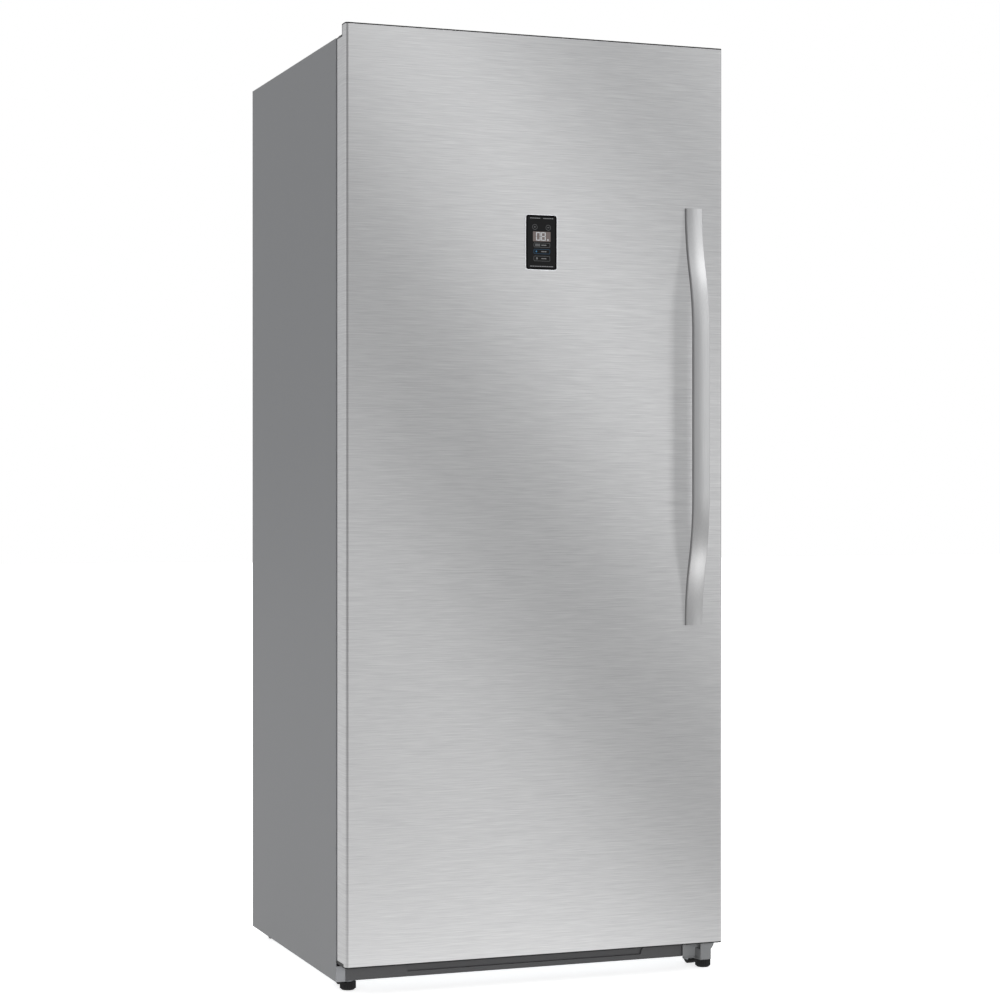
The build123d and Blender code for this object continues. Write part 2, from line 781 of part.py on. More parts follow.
with BuildPart() as lower_hinge:
    with BuildSketch(Plane.XY.offset(arm_bottom)):
        with Locations((hinge_x, hinge_y)):
            Circle(hinge_overhang)
        with BuildLine():
            Polyline(
                (left, hinge_y),
                (hinge_x, hinge_y - hinge_overhang),
                (right, y_cab),
                (right, leg_back),
                (left, leg_back),
                close=True,
            )
        make_face()
    extrude(amount=lower_plate)
    block((left, right), (leg_front, leg_back), (base_top, arm_bottom))
    block((left, right), (y_cab + base_setback, leg_front), (base_top, base_top + lower_plate))
    with Locations((*foot_left, base_top)):
        Cylinder(stud_radius + stud_fit, lower_plate, align=upward, mode=Mode.SUBTRACT)
    add(hinge_pins.part, mode=Mode.SUBTRACT)
    add(cabinet_screws.part, mode=Mode.SUBTRACT)

# ==== Foot bracket at the right: box, flared gusset and a tab on the bottom plate ====
box_width = 24.0
box_inset = 7.5
box_reach = 30.0
box_high = 38.5
bracket_sheet = 2.0
bracket_lip = 5.0
bracket_tab_gap = 9.0  # between its tab and the box
gusset_high = 54.0
gusset_inset = 0.5
gusset_flare = 24.0
gusset_edge = 3.5  # its right end stands upright for this much, then curves in to the box
box_right = half - box_inset
box_left = box_right - box_width
box_middle = (box_left + box_right) / 2
bracket_left = half - bracket_width
gusset_right = half - gusset_inset
box_front = y_cab - box_reach
bracket_low = foot_height + running_gap

with BuildPart() as right_foot_bracket:
    with BuildSketch(Plane.XY.offset(bracket_low)):
        with BuildLine():
            Polyline(
                (bracket_left, y_cab),
                (bracket_left, y_cab - bracket_lip),
                (box_left - bracket_lip, y_cab - bracket_lip),
                (box_left, box_front),
                (box_right, box_front),
                (box_right, y_cab),
                close=True,
            )
        make_face()
    extrude(amount=bracket_sheet)
    with BuildSketch(Plane.XY.offset(bracket_low + bracket_sheet)):
        with Locations((box_middle, (box_front + y_cab) / 2)):
            Rectangle(box_width, box_reach)
        with Locations((box_middle, (box_front + y_cab) / 2 + bracket_sheet)):
            Rectangle(box_width - 2 * bracket_sheet, box_reach, mode=Mode.SUBTRACT)
    extrude(amount=box_high - bracket_low - bracket_sheet)
    with BuildSketch(front_plane(box_front)):
        with BuildLine():
            gusset_low = gusset_high - gusset_edge
            Polyline(
                (box_right, box_high),
                (box_left, box_high),
                (box_left, gusset_high),
                (gusset_right, gusset_high),
                (gusset_right, gusset_low),
            )
            RadiusArc((gusset_right, gusset_low), (box_right, box_high), gusset_flare)
        make_face()
    extrude(amount=-bracket_sheet)
    block((box_left, gusset_right), (box_front, y_cab), (gusset_high - bracket_sheet, gusset_high))
    block((bracket_left, half - toe_flange), (y_cab - bracket_sheet, y_cab), (bracket_low, gusset_high))
    block((bracket_left, box_left - bracket_tab_gap), (y_cab, tab_back), (base_top, base_top + bracket_sheet))
    with Locations((*foot_right, bracket_low)):
        Cylinder(stud_radius + stud_fit, bracket_sheet, align=upward, mode=Mode.SUBTRACT)

# ==== Levelling feet ====
knurl_count = 24
knurl_depth = 0.9
knurl_low = 3.0
foot_chamfer = 4.0
stud_length = 27.0


def levelling_foot(x, y):
    """Knurled foot with its threaded stud, standing on the floor."""
    points = []
    for n in range(2 * knurl_count):
        radius = foot_radius if n % 2 == 0 else foot_radius - knurl_depth
        angle = math.pi * n / knurl_count
        points.append((x + radius * math.cos(angle), y + radius * math.sin(angle)))
    with BuildPart() as foot:
        with BuildSketch(Plane.XY.offset(knurl_low)):
            with BuildLine():
                Polyline(*points, close=True)
            make_face()
        extrude(amount=foot_height - knurl_low)
        with Locations((x, y, 0)):
            Cone(foot_radius - foot_chamfer, foot_radius - knurl_depth, knurl_low, align=upward)
        with Locations((x, y, foot_height)):
            Cylinder(stud_radius, stud_length, align=upward)
    return foot


levelling_foot_left = levelling_foot(*foot_left)
levelling_foot_right = levelling_foot(*foot_right)

# ==== Rollers, brackets and axles ====
rear_roller_radius = 18.0
front_roller_radius = 17.5
roller_width = 18.0
axle_radius = 4.0
axle_fit = 0.05
roller_chamfer = 1.5
cheek = 2.0
cheek_gap = 0.6
cheek_half = 12.0
cheek_below = 8.0  # the cheeks reach this far under the axle
axle_end = 2.0
roller_inset = 31.5
rear_roller_inset = 60.0  # from the cabinet's back
front_left_setback = 70.0
front_right_setback = 24.0
front_lift = 1.0  # front rollers clear of the floor while the feet are down
roller_x = half - roller_inset
rear_y = y_back - rear_roller_inset
front_roller_z = front_roller_radius + front_lift
roller_places = {
    "front_left": (-roller_x, y_cab + front_left_setback, front_roller_z, front_roller_radius),
    "front_right": (roller_x, y_cab + front_right_setback, front_roller_z, front_roller_radius),
    "rear_left": (-roller_x, rear_y, rear_roller_radius, rear_roller_radius),
    "rear_right": (roller_x, rear_y, rear_roller_radius, rear_roller_radius),
}


def roller(x, y, z, radius):
    """Roller with chamfered rims and a bored hub, its axis along X."""
    with BuildPart(Plane((x, y, z), z_dir=(1, 0, 0))) as wheel:
        Cylinder(radius, roller_width)
        chamfer(wheel.edges().filter_by(GeomType.CIRCLE), roller_chamfer)
        Hole(axle_radius + axle_fit)
    return wheel


front_roller_left = roller(*roller_places["front_left"])
front_roller_right = roller(*roller_places["front_right"])
rear_roller_left = roller(*roller_places["rear_left"])
rear_roller_right = roller(*roller_places["rear_right"])

with BuildPart() as roller_frames:
    for x, y, z, radius in roller_places.values():
        inner = roller_width / 2 + cheek_gap
        outer = inner + cheek
        block((x - outer, x + outer), (y - cheek_half, y + cheek_half), (base_height - cheek, base_height))
        for side in (-1, 1):
            cheek_x = (x + side * inner, x + side * outer)
            block(cheek_x, (y - cheek_half, y + cheek_half), (z - cheek_below, base_height - cheek))
        with Locations(Location((x, y, z), (0, 90, 0))):
            Cylinder(axle_radius, 2 * (outer + axle_end))

# ==== Shelves with front trims, drawer, basket and runners ====
glass = 5.0
shelf_side_gap = 2.0
shelf_back_gap = 6.0
shelf_half = cavity_half - shelf_side_gap
trim_high = 14.0
trim_nose = 3.0  # in front of the glass
trim_over = 9.0  # over and under the glass

with BuildPart() as glass_shelves:
    for z in shelf_levels:
        block((-shelf_half, shelf_half), (shelf_front, duct_front - shelf_back_gap), (z, z + glass))

with BuildPart() as shelf_trims:
    for z in shelf_levels:
        with BuildSketch(Plane.YZ):
            with Locations((shelf_front + (trim_over - trim_nose) / 2, z + glass / 2)):
                Rectangle(trim_nose + trim_over, trim_high)
            with Locations((shelf_front + trim_over / 2, z + glass / 2)):
                Rectangle(trim_over, glass, mode=Mode.SUBTRACT)
        extrude(amount=shelf_half - ledge, both=True)

tray_wall = 3.0
tray_side_gap = 16.5
tray_half = cavity_half - tray_side_gap
drawer_round = 14.0
basket_round = 8.0
runner_wide = 10.0
runner_high = 3.0
runner_leg = 14.0
runner_leg_thick = 2.0
flange_wide = runner_wide  # its tip stays clear of the open door's dyke
drawer_low = 350.0
drawer_high = 540.0
drawer_behind = 13.5  # drawer to the duct cover
drawer_depth = duct_front - shelf_front - drawer_behind
basket_low = 140.0
basket_high = 330.0
basket_behind = 12.5  # basket to the hump
basket_depth = hump_front - shelf_front - basket_behind


def tray(low, high, depth, corner):
    """Open moulded tray with two sliding flanges along its upper edge."""
    with BuildPart() as shell:
        cup((0, shelf_front + depth / 2), (2 * tray_half, depth), corner, low, high, tray_wall)
        for side in (-1, 1):
            edge = side * (tray_half - tray_wall / 2)
            tip = side * (tray_half + flange_wide)
            block((edge, tip), (shelf_front + corner, shelf_front + depth - corner), (high - tray_wall, high))
    return shell.part


grip_half = 90.0
grip_drop = 22.0  # drawer's top edge to the finger slot
grip_high = 30.0
hood_side = 4.0
hood_deep = 17.0
hood_thick = 3.0

with BuildPart() as freezer_drawer:
    add(tray(drawer_low, drawer_high, drawer_depth, drawer_round))
    # Finger grip: a hooded slot high on the front wall.
    grip_top = drawer_high - grip_drop
    grip_back = shelf_front + tray_wall
    hood_half = grip_half + hood_side
    slot_span = (grip_top - grip_high, grip_top)
    block((-grip_half, grip_half), (shelf_front, grip_back), slot_span, mode=Mode.SUBTRACT)
    block((-hood_half, hood_half), (grip_back, grip_back + hood_deep), (grip_top, grip_top + hood_thick))

slot_high = 90.0
slot_wide = 8.0
slot_pitch = 34.0
front_slots = 18
side_slots = 5

with BuildPart() as lower_basket:
    add(tray(basket_low, basket_high, basket_depth, basket_round))
    slot_z = (basket_low + basket_high) / 2
    with BuildSketch(front_plane(shelf_front + basket_depth + 1)):
        with Locations((0, slot_z)):
            with GridLocations(slot_pitch, 1, front_slots, 1):
                Rectangle(slot_wide, slot_high)
    extrude(amount=basket_depth + 2, mode=Mode.SUBTRACT)
    with BuildSketch(Plane.YZ):
        with Locations((shelf_front + basket_depth / 2, slot_z)):
            with GridLocations(slot_pitch, 1, side_slots, 1):
                Rectangle(slot_wide, slot_high)
    extrude(amount=cavity_half, both=True, mode=Mode.SUBTRACT)

with BuildPart() as drawer_runners:
    for high, depth in ((drawer_high, drawer_depth), (basket_high, basket_depth)):
        top = high - tray_wall - running_gap
        for side in (-1, 1):
            wall = side * cavity_half
            ledge_span = (wall, wall - side * runner_wide)
            leg_span = (wall, wall - side * runner_leg_thick)
            block(ledge_span, (shelf_front, shelf_front + depth), (top - runner_high, top))
            block(leg_span, (shelf_front, shelf_front + depth), (top - runner_leg, top - runner_high))

lamp_long = 140.0
lamp_wide = 42.0
lamp_high = 12.0
lamp_round = 8.0
lamp_draft = 12.0
lamp_setback = 85.0

with BuildPart() as led_lamp:
    with BuildSketch(Plane.XY.offset(ceiling)):
        with Locations((0, y_cab + lamp_setback)):
            RectangleRounded(lamp_long, lamp_wide, lamp_round)
    extrude(amount=-lamp_high, taper=lamp_draft)

# ==== Door: wrap, end caps, bushings ====
wrap_round = 6.0
back_round = 3.0
return_flange = 20.0
cap_rim = 2.5
cap_wall = 3.0
top_plug = 33.5
bottom_plug = 13.5
pocket_long = 100.0
pocket_front = 26.0
riser = 3.0
riser_low = skin_top - 22.5
side_notch = 15.0
side_notch_high = 4.5
bush_boss = 4.0  # wall of the cap's boss round the bushing
bush_length = 24.0
cap_low = skin_bottom - cap_rim
plug_low = skin_top - top_plug
plug_high = skin_bottom + bottom_plug
door_top = skin_top + cap_rim
cap_hollow = riser_low - cap_wall - plug_low


def door_plan(z, inset):
    """Plan of the door at a height, inset from the outside of its wrap."""
    with BuildSketch(Plane.XY.offset(z)) as plan:
        with Locations((0, (y_door + y_door_back) / 2)):
            Rectangle(width, door_thickness)
        fillet(plan.vertices().group_by(Axis.Y)[0], wrap_round)
        fillet(plan.vertices().group_by(Axis.Y)[-1], back_round)
        if inset:
            offset(amount=-inset)
    return plan.sketch


def rear_plan(z, setback):
    """The part of the door's plan that lies behind a setback from its front."""
    with BuildSketch(Plane.XY.offset(z)) as plan:
        add(door_plan(0, 0))
        with Locations((0, y_door + setback + door_thickness / 2)):
            Rectangle(2 * width, door_thickness, mode=Mode.INTERSECT)
    return plan.sketch


panel_x = 3.75
panel_drop = 420.0  # top of the door to the panel's middle
panel_z = skin_top - panel_drop
panel_wide = 67.0
panel_high = 111.0
panel_round = 5.0
bezel = 1.0
bezel_proud = 1.8
fascia_proud = 1.2
housing_inset = 4.0
housing_deep = 16.0
housing_wall = 2.0

handle_inset = 68.25  # handle's middle from the door's side
handle_x = half - handle_inset
handle_wide = 37.0
handle_thick = 10.0
handle_half = 435.5
handle_drop = 337.5  # top of the door to the handle's upper end
handle_z = skin_top - handle_drop - handle_half
plateau_half = 170.5
handle_crown = 1.6
handle_edge = 2.0
mount_pad = 45.0
mount_pad_wide = 24.0
pad_inset = 6.0
handle_screw_insets = (16.0, 40.0)
handle_screw_length = 7.0
handle_screw_head = 3.0
handle_screw_reaches = [handle_half - inset for inset in handle_screw_insets]
handle_screw_rows = [handle_z + side * reach for side in (-1, 1) for reach in handle_screw_reaches]

with BuildPart() as handle_screws:
    for z in handle_screw_rows:
        with Locations(Location((handle_x, y_door + steel, z), (90, 0, 0))):
            Cylinder(screw_radius, handle_screw_length, align=upward)
            Cylinder(screw_head, handle_screw_head, align=downward)

with BuildPart() as door_skin:
    extrude(door_plan(skin_bottom, 0), amount=skin_height)
    extrude(door_plan(skin_bottom, steel), amount=skin_height, mode=Mode.SUBTRACT)
    opening = inner_half - return_flange
    for x_limit, near, z_span in (
        (opening, y_door_back - steel, (skin_bottom, skin_top)),
        (half, y_door + pocket_front - riser, (riser_low, skin_top)),
        (half, y_door + side_notch, (skin_bottom, skin_bottom + side_notch_high)),
    ):
        block((-x_limit, x_limit), (near, y_door_back), z_span, mode=Mode.SUBTRACT)
    with BuildSketch(front_plane(y_door)):
        with Locations((panel_x, panel_z)):
            Rectangle(panel_wide - 2 * housing_inset, panel_high - 2 * housing_inset)
    extrude(amount=-steel, mode=Mode.SUBTRACT)
    add(handle_screws.part, mode=Mode.SUBTRACT)

with BuildPart() as door_top_cap:
    extrude(door_plan(plug_low, steel), amount=top_plug)
    extrude(door_plan(skin_top, 0), amount=cap_rim)
    extrude(rear_plan(riser_low, pocket_front - riser), amount=door_top - riser_low)
    extrude(door_plan(plug_low, steel + cap_wall), amount=cap_hollow, mode=Mode.SUBTRACT)
    with Locations((hinge_x, hinge_y, pocket_floor)):
        Cylinder(bush_radius + bush_boss, bush_length, align=downward)
    for side in (-1, 1):
        block(
            (side * half, side * (half - pocket_long)),
            (y_door + pocket_front, y_door_back),
            (pocket_floor, door_top),
            mode=Mode.SUBTRACT,
        )
    with Locations((hinge_x, hinge_y, pocket_floor)):
        Cylinder(bush_radius, bush_length, align=downward, mode=Mode.SUBTRACT)

with BuildPart() as door_bottom_cap:
    extrude(door_plan(cap_low, 0), amount=cap_rim)
    extrude(door_plan(skin_bottom, steel), amount=bottom_plug)
    extrude(rear_plan(skin_bottom, side_notch), amount=side_notch_high)
    extrude(door_plan(cap_low + cap_wall, steel + cap_wall), amount=bottom_plug, mode=Mode.SUBTRACT)
    with Locations((hinge_x, hinge_y, cap_low)):
        Cylinder(bush_radius + bush_boss, bush_length, align=upward)
        Cylinder(bush_radius, bush_length, align=upward, mode=Mode.SUBTRACT)

with BuildPart() as hinge_bushings:
    for z, up in ((cap_low, True), (pocket_floor, False)):
        inward, outward = (upward, downward) if up else (downward, upward)
        with Locations((hinge_x, hinge_y, z)):
            Cylinder(bush_radius, bush_length, align=inward)
            Cylinder(bush_radius + bush_flange, bush_flange_thick, align=outward)
            Cylinder(pin_radius + pin_fit, 3 * bush_length, mode=Mode.SUBTRACT)

# ==== Door liner with its dyke, foam, gasket ====
dyke_half = cavity_half - 10.5
dyke_wide = 40.0
dyke_deep = 38.0
dyke_low = floor_height + 10
dyke_high = ceiling - 10.5
dyke_round = 16.0
bin_count = 5
bin_low = 250.0
bin_head = 348.0  # room from the top bin's floor to the dyke's top
bin_pitch = (dyke_high - bin_head - bin_low) / (bin_count - 1)
bin_levels = [bin_low + n * bin_pitch for n in range(bin_count)]
bin_half = dyke_half - dyke_wide - 2
lug = 8.0
lug_deep = 30.0


def dyke_face(plane, inset):
    """Ring of the liner's raised dyke, drawn in by a wall on both its sides."""
    middle = (dyke_low + dyke_high) / 2
    with BuildSketch(plane) as face:
        with Locations((0, middle)):
            RectangleRounded(2 * (dyke_half - inset), dyke_high - dyke_low - 2 * inset, dyke_round)
            RectangleRounded(
                2 * (dyke_half - dyke_wide + inset),
                dyke_high - dyke_low - 2 * (dyke_wide - inset),
                dyke_round,
                mode=Mode.SUBTRACT,
            )
    return face.sketch


with BuildPart() as door_liner:
    edge = inner_half - return_flange
    block((-edge, edge), (y_door_back - liner_wall, y_door_back), (plug_high, plug_low))
    inside = front_plane(y_door_back - liner_wall)
    extrude(dyke_face(front_plane(y_door_back), 0), amount=-dyke_deep)
    extrude(dyke_face(inside, liner_wall), amount=-dyke_deep, mode=Mode.SUBTRACT)
    for z in bin_levels:
        for side in (-1, 1):
            wall = side * (dyke_half - dyke_wide)
            block((wall, wall - side * lug), (y_door_back, y_door_back + lug_deep), (z - lug, z))

panel_box_half = panel_wide / 2 - housing_inset
with BuildPart() as door_foam:
    extrude(door_plan(cap_low + cap_wall, steel), amount=skin_top - cap_low - 2 * cap_wall)
    block((-half, half), (y_door_back - liner_wall, y_door_back), (cap_low, door_top), mode=Mode.SUBTRACT)
    block((-half, half), (y_door, y_door_back), (plug_low + cap_hollow, door_top), mode=Mode.SUBTRACT)
    extrude(dyke_face(front_plane(y_door_back - liner_wall), liner_wall), amount=-dyke_deep)
    add(door_top_cap.part, mode=Mode.SUBTRACT)
    add(door_bottom_cap.part, mode=Mode.SUBTRACT)
    add(hinge_bushings.part, mode=Mode.SUBTRACT)
    add(handle_screws.part, mode=Mode.SUBTRACT)
    for z in (cap_low, pocket_floor - bush_length):
        with Locations((hinge_x, hinge_y, z)):
            Cylinder(bush_radius, bush_length, align=upward, mode=Mode.SUBTRACT)
    block(
        (panel_x - panel_box_half, panel_x + panel_box_half),
        (y_door, y_door + housing_deep),
        (panel_z - panel_high / 2 + housing_inset, panel_z + panel_high / 2 - housing_inset),
        mode=Mode.SUBTRACT,
    )

gasket_wide = 18.0
gasket_inset = 22.0  # from the door's side
gasket_base = 2.5
gasket_neck = 1.5
gasket_neck_inset = 5.0
gasket_magnet_inset = 1.5
gasket_lift = 3.0  # above the bottom cap
gasket_head = 20.0  # below the cabinet's top
gasket_half = half - gasket_inset
gasket_low = plug_high + gasket_lift
gasket_high = z_top - gasket_head

with BuildPart() as door_gasket:
    foot = frame_face(front_plane(y_door_back), gasket_half, gasket_low, gasket_high, gasket_wide)
    extrude(foot, amount=-gasket_base)
    for inset, start, depth in (
        (gasket_neck_inset, gasket_base, gasket_neck),
        (gasket_magnet_inset, gasket_base + gasket_neck, seal_gap - gasket_base - gasket_neck),
    ):
        face = frame_face(
            front_plane(y_door_back + start),
            gasket_half - inset,
            gasket_low + inset,
            gasket_high - inset,
            gasket_wide - 2 * inset,
        )
        extrude(face, amount=-depth)

# ==== Door bins ====
bin_deep = 115.0
bin_high = 110.0
bin_wall = 2.5
bin_round = 14.0
bin_lean = 12.0
bin_lean_high = 80.0


def bin_body(low, high, inset):
    """Solid of a bin's outside or, inset by its wall, of the space in it."""
    near = y_door_back + running_gap + inset
    far = y_door_back + bin_deep - inset
    with BuildPart() as body:
        with BuildSketch(Plane.XY.offset(low)) as plan:
            with Locations((0, (near + far) / 2)):
                Rectangle(2 * (bin_half - inset), far - near)
            fillet(plan.vertices().group_by(Axis.Y)[-1], bin_round - inset)
        extrude(amount=high - low)
        with BuildSketch(Plane.YZ):
            with BuildLine():
                Polyline(
                    (near, low),
                    (far - bin_lean, low),
                    (far, low + bin_lean_high),
                    (far, high),
                    (near, high),
                    close=True,
                )
            make_face()
        extrude(amount=bin_half, both=True, mode=Mode.INTERSECT)
    return body.part


def door_bin(z):
    """Moulded bin that stands on two lugs of the liner; its front leans outwards."""
    with BuildPart() as shell:
        add(bin_body(z, z + bin_high, 0))
        add(bin_body(z + bin_wall, z + bin_high, bin_wall), mode=Mode.SUBTRACT)
    return shell


door_bin_1, door_bin_2, door_bin_3, door_bin_4, door_bin_5 = [door_bin(z) for z in bin_levels]

# ==== Handle: a strap bowed by two pairs of equal tangent arcs, flat at both ends ====
strap_rise = handle_reach - handle_thick
bow_run = handle_half - plateau_half
bow_turn = 2 * math.atan(strap_rise / bow_run)
bow_radius = bow_run / (2 * math.sin(bow_turn))
turn = math.degrees(bow_turn)

with BuildPart() as door_handle:
    with BuildLine(Plane.YZ.offset(handle_x)) as bow:
        rise_a = JernArc((y_door, handle_z - handle_half), (0, 1), bow_radius, turn)
        rise_b = JernArc(rise_a @ 1, rise_a % 1, bow_radius, -turn)
        straight = Line(rise_b @ 1, (y_door - strap_rise, handle_z + plateau_half))
        fall_a = JernArc(straight @ 1, (0, 1), bow_radius, -turn)
        fall_b = JernArc(fall_a @ 1, fall_a % 1, bow_radius, turn)
    strap_start = Plane((handle_x, y_door, handle_z - handle_half), x_dir=(1, 0, 0), z_dir=(0, 0, 1))
    with BuildSketch(strap_start) as strap:
        with BuildLine():
            Polyline(
                (-handle_wide / 2, -handle_thick + handle_crown),
                (-handle_wide / 2, 0),
                (handle_wide / 2, 0),
                (handle_wide / 2, -handle_thick + handle_crown),
            )
            ThreePointArc(
                (handle_wide / 2, -handle_thick + handle_crown),
                (0, -handle_thick),
                (-handle_wide / 2, -handle_thick + handle_crown),
            )
        make_face()
        fillet(strap.vertices().group_by(Axis.Y)[0], handle_edge)
    sweep(path=bow.line)
    for side in (-1, 1):
        end = handle_z + side * handle_half
        block(
            (handle_x - mount_pad_wide / 2, handle_x + mount_pad_wide / 2),
            (y_door - handle_thick / 2, y_door),
            (end - side * pad_inset, end - side * (pad_inset + mount_pad)),
        )
    add(handle_screws.part, mode=Mode.SUBTRACT)

# ==== Control panel ====
fascia_wide = panel_wide - 2 * bezel
fascia_high = panel_high - 2 * bezel
inner_wide = panel_wide - 2 * (housing_inset + housing_wall)
inner_high = panel_high - 2 * (housing_inset + housing_wall)

with BuildPart() as control_bezel:
    with BuildSketch(front_plane(y_door)):
        with Locations((panel_x, panel_z)):
            RectangleRounded(panel_wide, panel_high, panel_round)
            RectangleRounded(fascia_wide, fascia_high, panel_round - bezel, mode=Mode.SUBTRACT)
    extrude(amount=bezel_proud)

with BuildPart() as control_fascia:
    with BuildSketch(front_plane(y_door)):
        with Locations((panel_x, panel_z)):
            RectangleRounded(fascia_wide, fascia_high, panel_round - bezel)
    extrude(amount=fascia_proud)
    with BuildSketch(front_plane(y_door)):
        with Locations((panel_x, panel_z)):
            Rectangle(panel_wide - 2 * housing_inset, panel_high - 2 * housing_inset)
            Rectangle(inner_wide, inner_high, mode=Mode.SUBTRACT)
    extrude(amount=-housing_deep)

board_thick = 1.6
board_setback = 8.0
digits_size = (39.0, 20.0)
digits_up = 11.5  # above the panel's middle
key_size = (30.0, 8.0)
key_count = 3
key_pitch = 13.0
keys_down = 20.0
with BuildPart() as display_board:
    with BuildSketch(front_plane(y_door + board_setback)):
        with Locations((panel_x, panel_z)):
            Rectangle(inner_wide - 2 * running_gap, inner_high - 2 * running_gap)
    extrude(amount=-board_thick)
    with BuildSketch(front_plane(y_door + board_setback)):
        with Locations((panel_x, panel_z + digits_up)):
            Rectangle(*digits_size)
        with Locations((panel_x, panel_z - keys_down)):
            with GridLocations(key_size[0], key_pitch, 1, key_count):
                Rectangle(*key_size)
    extrude(amount=board_setback - running_gap)

pieces = {
    "side_panel_left": side_panel_left.part,
    "side_panel_right": side_panel_right.part,
    "top_panel": top_panel.part,
    "back_panel": back_panel.part,
    "bottom_plate": bottom_plate.part,
    "front_rail": front_rail.part,
    "kick_plate": kick_plate.part,
    "cabinet_foam": cabinet_foam.part,
    "inner_liner": inner_liner.part,
    "machine_bay_liner": machine_bay_liner.part,
    "machine_bay_cover": machine_bay_cover.part,
    "cabinet_screws": cabinet_screws.part,
    "compressor": compressor_placed,
    "compressor_mounts": compressor_mounts.part,
    "drain_pan": drain_pan.part,
    "refrigerant_pipes": refrigerant_pipes.part,
    "condenser_loops": condenser_loops.part,
    "cord_gland": cord_gland.part,
    "evaporator_coil": evaporator_coil.part,
    "defrost_heater": defrost_heater.part,
    "duct_cover": duct_cover.part,
    "fan_motor": fan_motor.part,
    "fan_blade": fan_blade.part,
    "lower_hinge": lower_hinge.part,
    "upper_hinge": upper_hinge.part,
    "hinge_pins": hinge_pins.part,
    "hinge_cover": hinge_cover.part,
    "right_foot_bracket": right_foot_bracket.part,
    "levelling_foot_left": levelling_foot_left.part,
    "levelling_foot_right": levelling_foot_right.part,
    "front_roller_left": front_roller_left.part,
    "front_roller_right": front_roller_right.part,
    "rear_roller_left": rear_roller_left.part,
    "rear_roller_right": rear_roller_right.part,
    "roller_frames": roller_frames.part,
    "glass_shelves": glass_shelves.part,
    "shelf_trims": shelf_trims.part,
    "freezer_drawer": freezer_drawer.part,
    "lower_basket": lower_basket.part,
    "drawer_runners": drawer_runners.part,
    "led_lamp": led_lamp.part,
    "door_switch_body": door_switch_body.part,
    "door_switch_plunger": door_switch_plunger.part,
    "door_skin": door_skin.part,
    "door_top_cap": door_top_cap.part,
    "door_bottom_cap": door_bottom_cap.part,
    "door_foam": door_foam.part,
    "door_liner": door_liner.part,
    "door_gasket": door_gasket.part,
    "hinge_bushings": hinge_bushings.part,
    "door_bin_1": door_bin_1.part,
    "door_bin_2": door_bin_2.part,
    "door_bin_3": door_bin_3.part,
    "door_bin_4": door_bin_4.part,
    "door_bin_5": door_bin_5.part,
    "door_handle": door_handle.part,
    "handle_screws": handle_screws.part,
    "control_bezel": control_bezel.part,
    "control_fascia": control_fascia.part,
    "display_board": display_board.part,
}
for name, piece in pieces.items():
    piece.label = name
    export_step(piece, f"parts/{name}.step")
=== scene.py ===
"""Upright freezer: finishes for its solids, the door's seal and what is printed on the control panel."""

import math

import bmesh
import bpy
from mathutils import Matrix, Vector


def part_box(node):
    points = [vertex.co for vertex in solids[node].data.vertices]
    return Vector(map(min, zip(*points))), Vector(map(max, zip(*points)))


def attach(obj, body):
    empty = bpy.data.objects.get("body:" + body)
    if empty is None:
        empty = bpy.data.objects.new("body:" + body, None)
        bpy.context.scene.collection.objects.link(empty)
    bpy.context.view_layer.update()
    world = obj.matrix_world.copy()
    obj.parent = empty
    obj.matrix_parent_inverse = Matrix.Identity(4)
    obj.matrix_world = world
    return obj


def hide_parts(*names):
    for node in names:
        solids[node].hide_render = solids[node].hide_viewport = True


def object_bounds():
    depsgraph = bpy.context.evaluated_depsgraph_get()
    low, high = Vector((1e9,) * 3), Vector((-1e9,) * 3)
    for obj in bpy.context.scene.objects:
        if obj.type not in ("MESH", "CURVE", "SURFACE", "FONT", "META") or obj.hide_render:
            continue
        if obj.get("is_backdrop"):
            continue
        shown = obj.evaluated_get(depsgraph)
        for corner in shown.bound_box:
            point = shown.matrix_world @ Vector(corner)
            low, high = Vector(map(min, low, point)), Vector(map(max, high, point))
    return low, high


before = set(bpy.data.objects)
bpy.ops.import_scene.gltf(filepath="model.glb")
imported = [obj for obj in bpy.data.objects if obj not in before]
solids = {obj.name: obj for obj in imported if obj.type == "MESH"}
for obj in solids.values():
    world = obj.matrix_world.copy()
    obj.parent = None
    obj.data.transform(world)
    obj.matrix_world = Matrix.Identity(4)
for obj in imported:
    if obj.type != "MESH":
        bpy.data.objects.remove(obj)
solids_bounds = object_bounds()

# ==== Studio ====
# The freezer stands on a seamless pale floor in a white room.  The camera is a metre above the floor, four
# and a half metres off the door and to its left, with a short telephoto lens.
eye = Vector((-1.7615, -4.8682, 0.9973))
camera_data = bpy.data.cameras.new("camera")
camera_data.lens = 85.46
camera_data.sensor_width = 36.0
camera_data.clip_end = 200.0
camera = bpy.data.objects.new("camera", camera_data)
camera.location = eye
camera.rotation_euler = (math.radians(90 - 0.086), 0, math.radians(-20.33))
bpy.context.collection.objects.link(camera)
bpy.context.scene.camera = camera
bpy.context.scene.view_settings.view_transform = "Standard"


def srgb(code):
    """Linear colour of an sRGB hex value."""
    steps = [int(code[n : n + 2], 16) / 255 for n in (1, 3, 5)]
    return [s / 12.92 if s <= 0.04045 else ((s + 0.055) / 1.055) ** 2.4 for s in steps] + [1.0]


def find_input(node, name):
    """A node's input by its number, or by its name among those in use."""
    if isinstance(name, int):
        return node.inputs[name]
    return next(socket for socket in node.inputs if socket.enabled and socket.name == name)


def set_inputs(tree, node, inputs):
    """Sets a node's inputs: each takes a plain value, a socket, or another node's first output in use."""
    for name, value in inputs.items():
        socket = find_input(node, name)
        if isinstance(value, bpy.types.Node):
            value = next(s for s in value.outputs if s.enabled)
        if isinstance(value, bpy.types.NodeSocket):
            tree.links.new(value, socket)
        else:
            socket.default_value = value


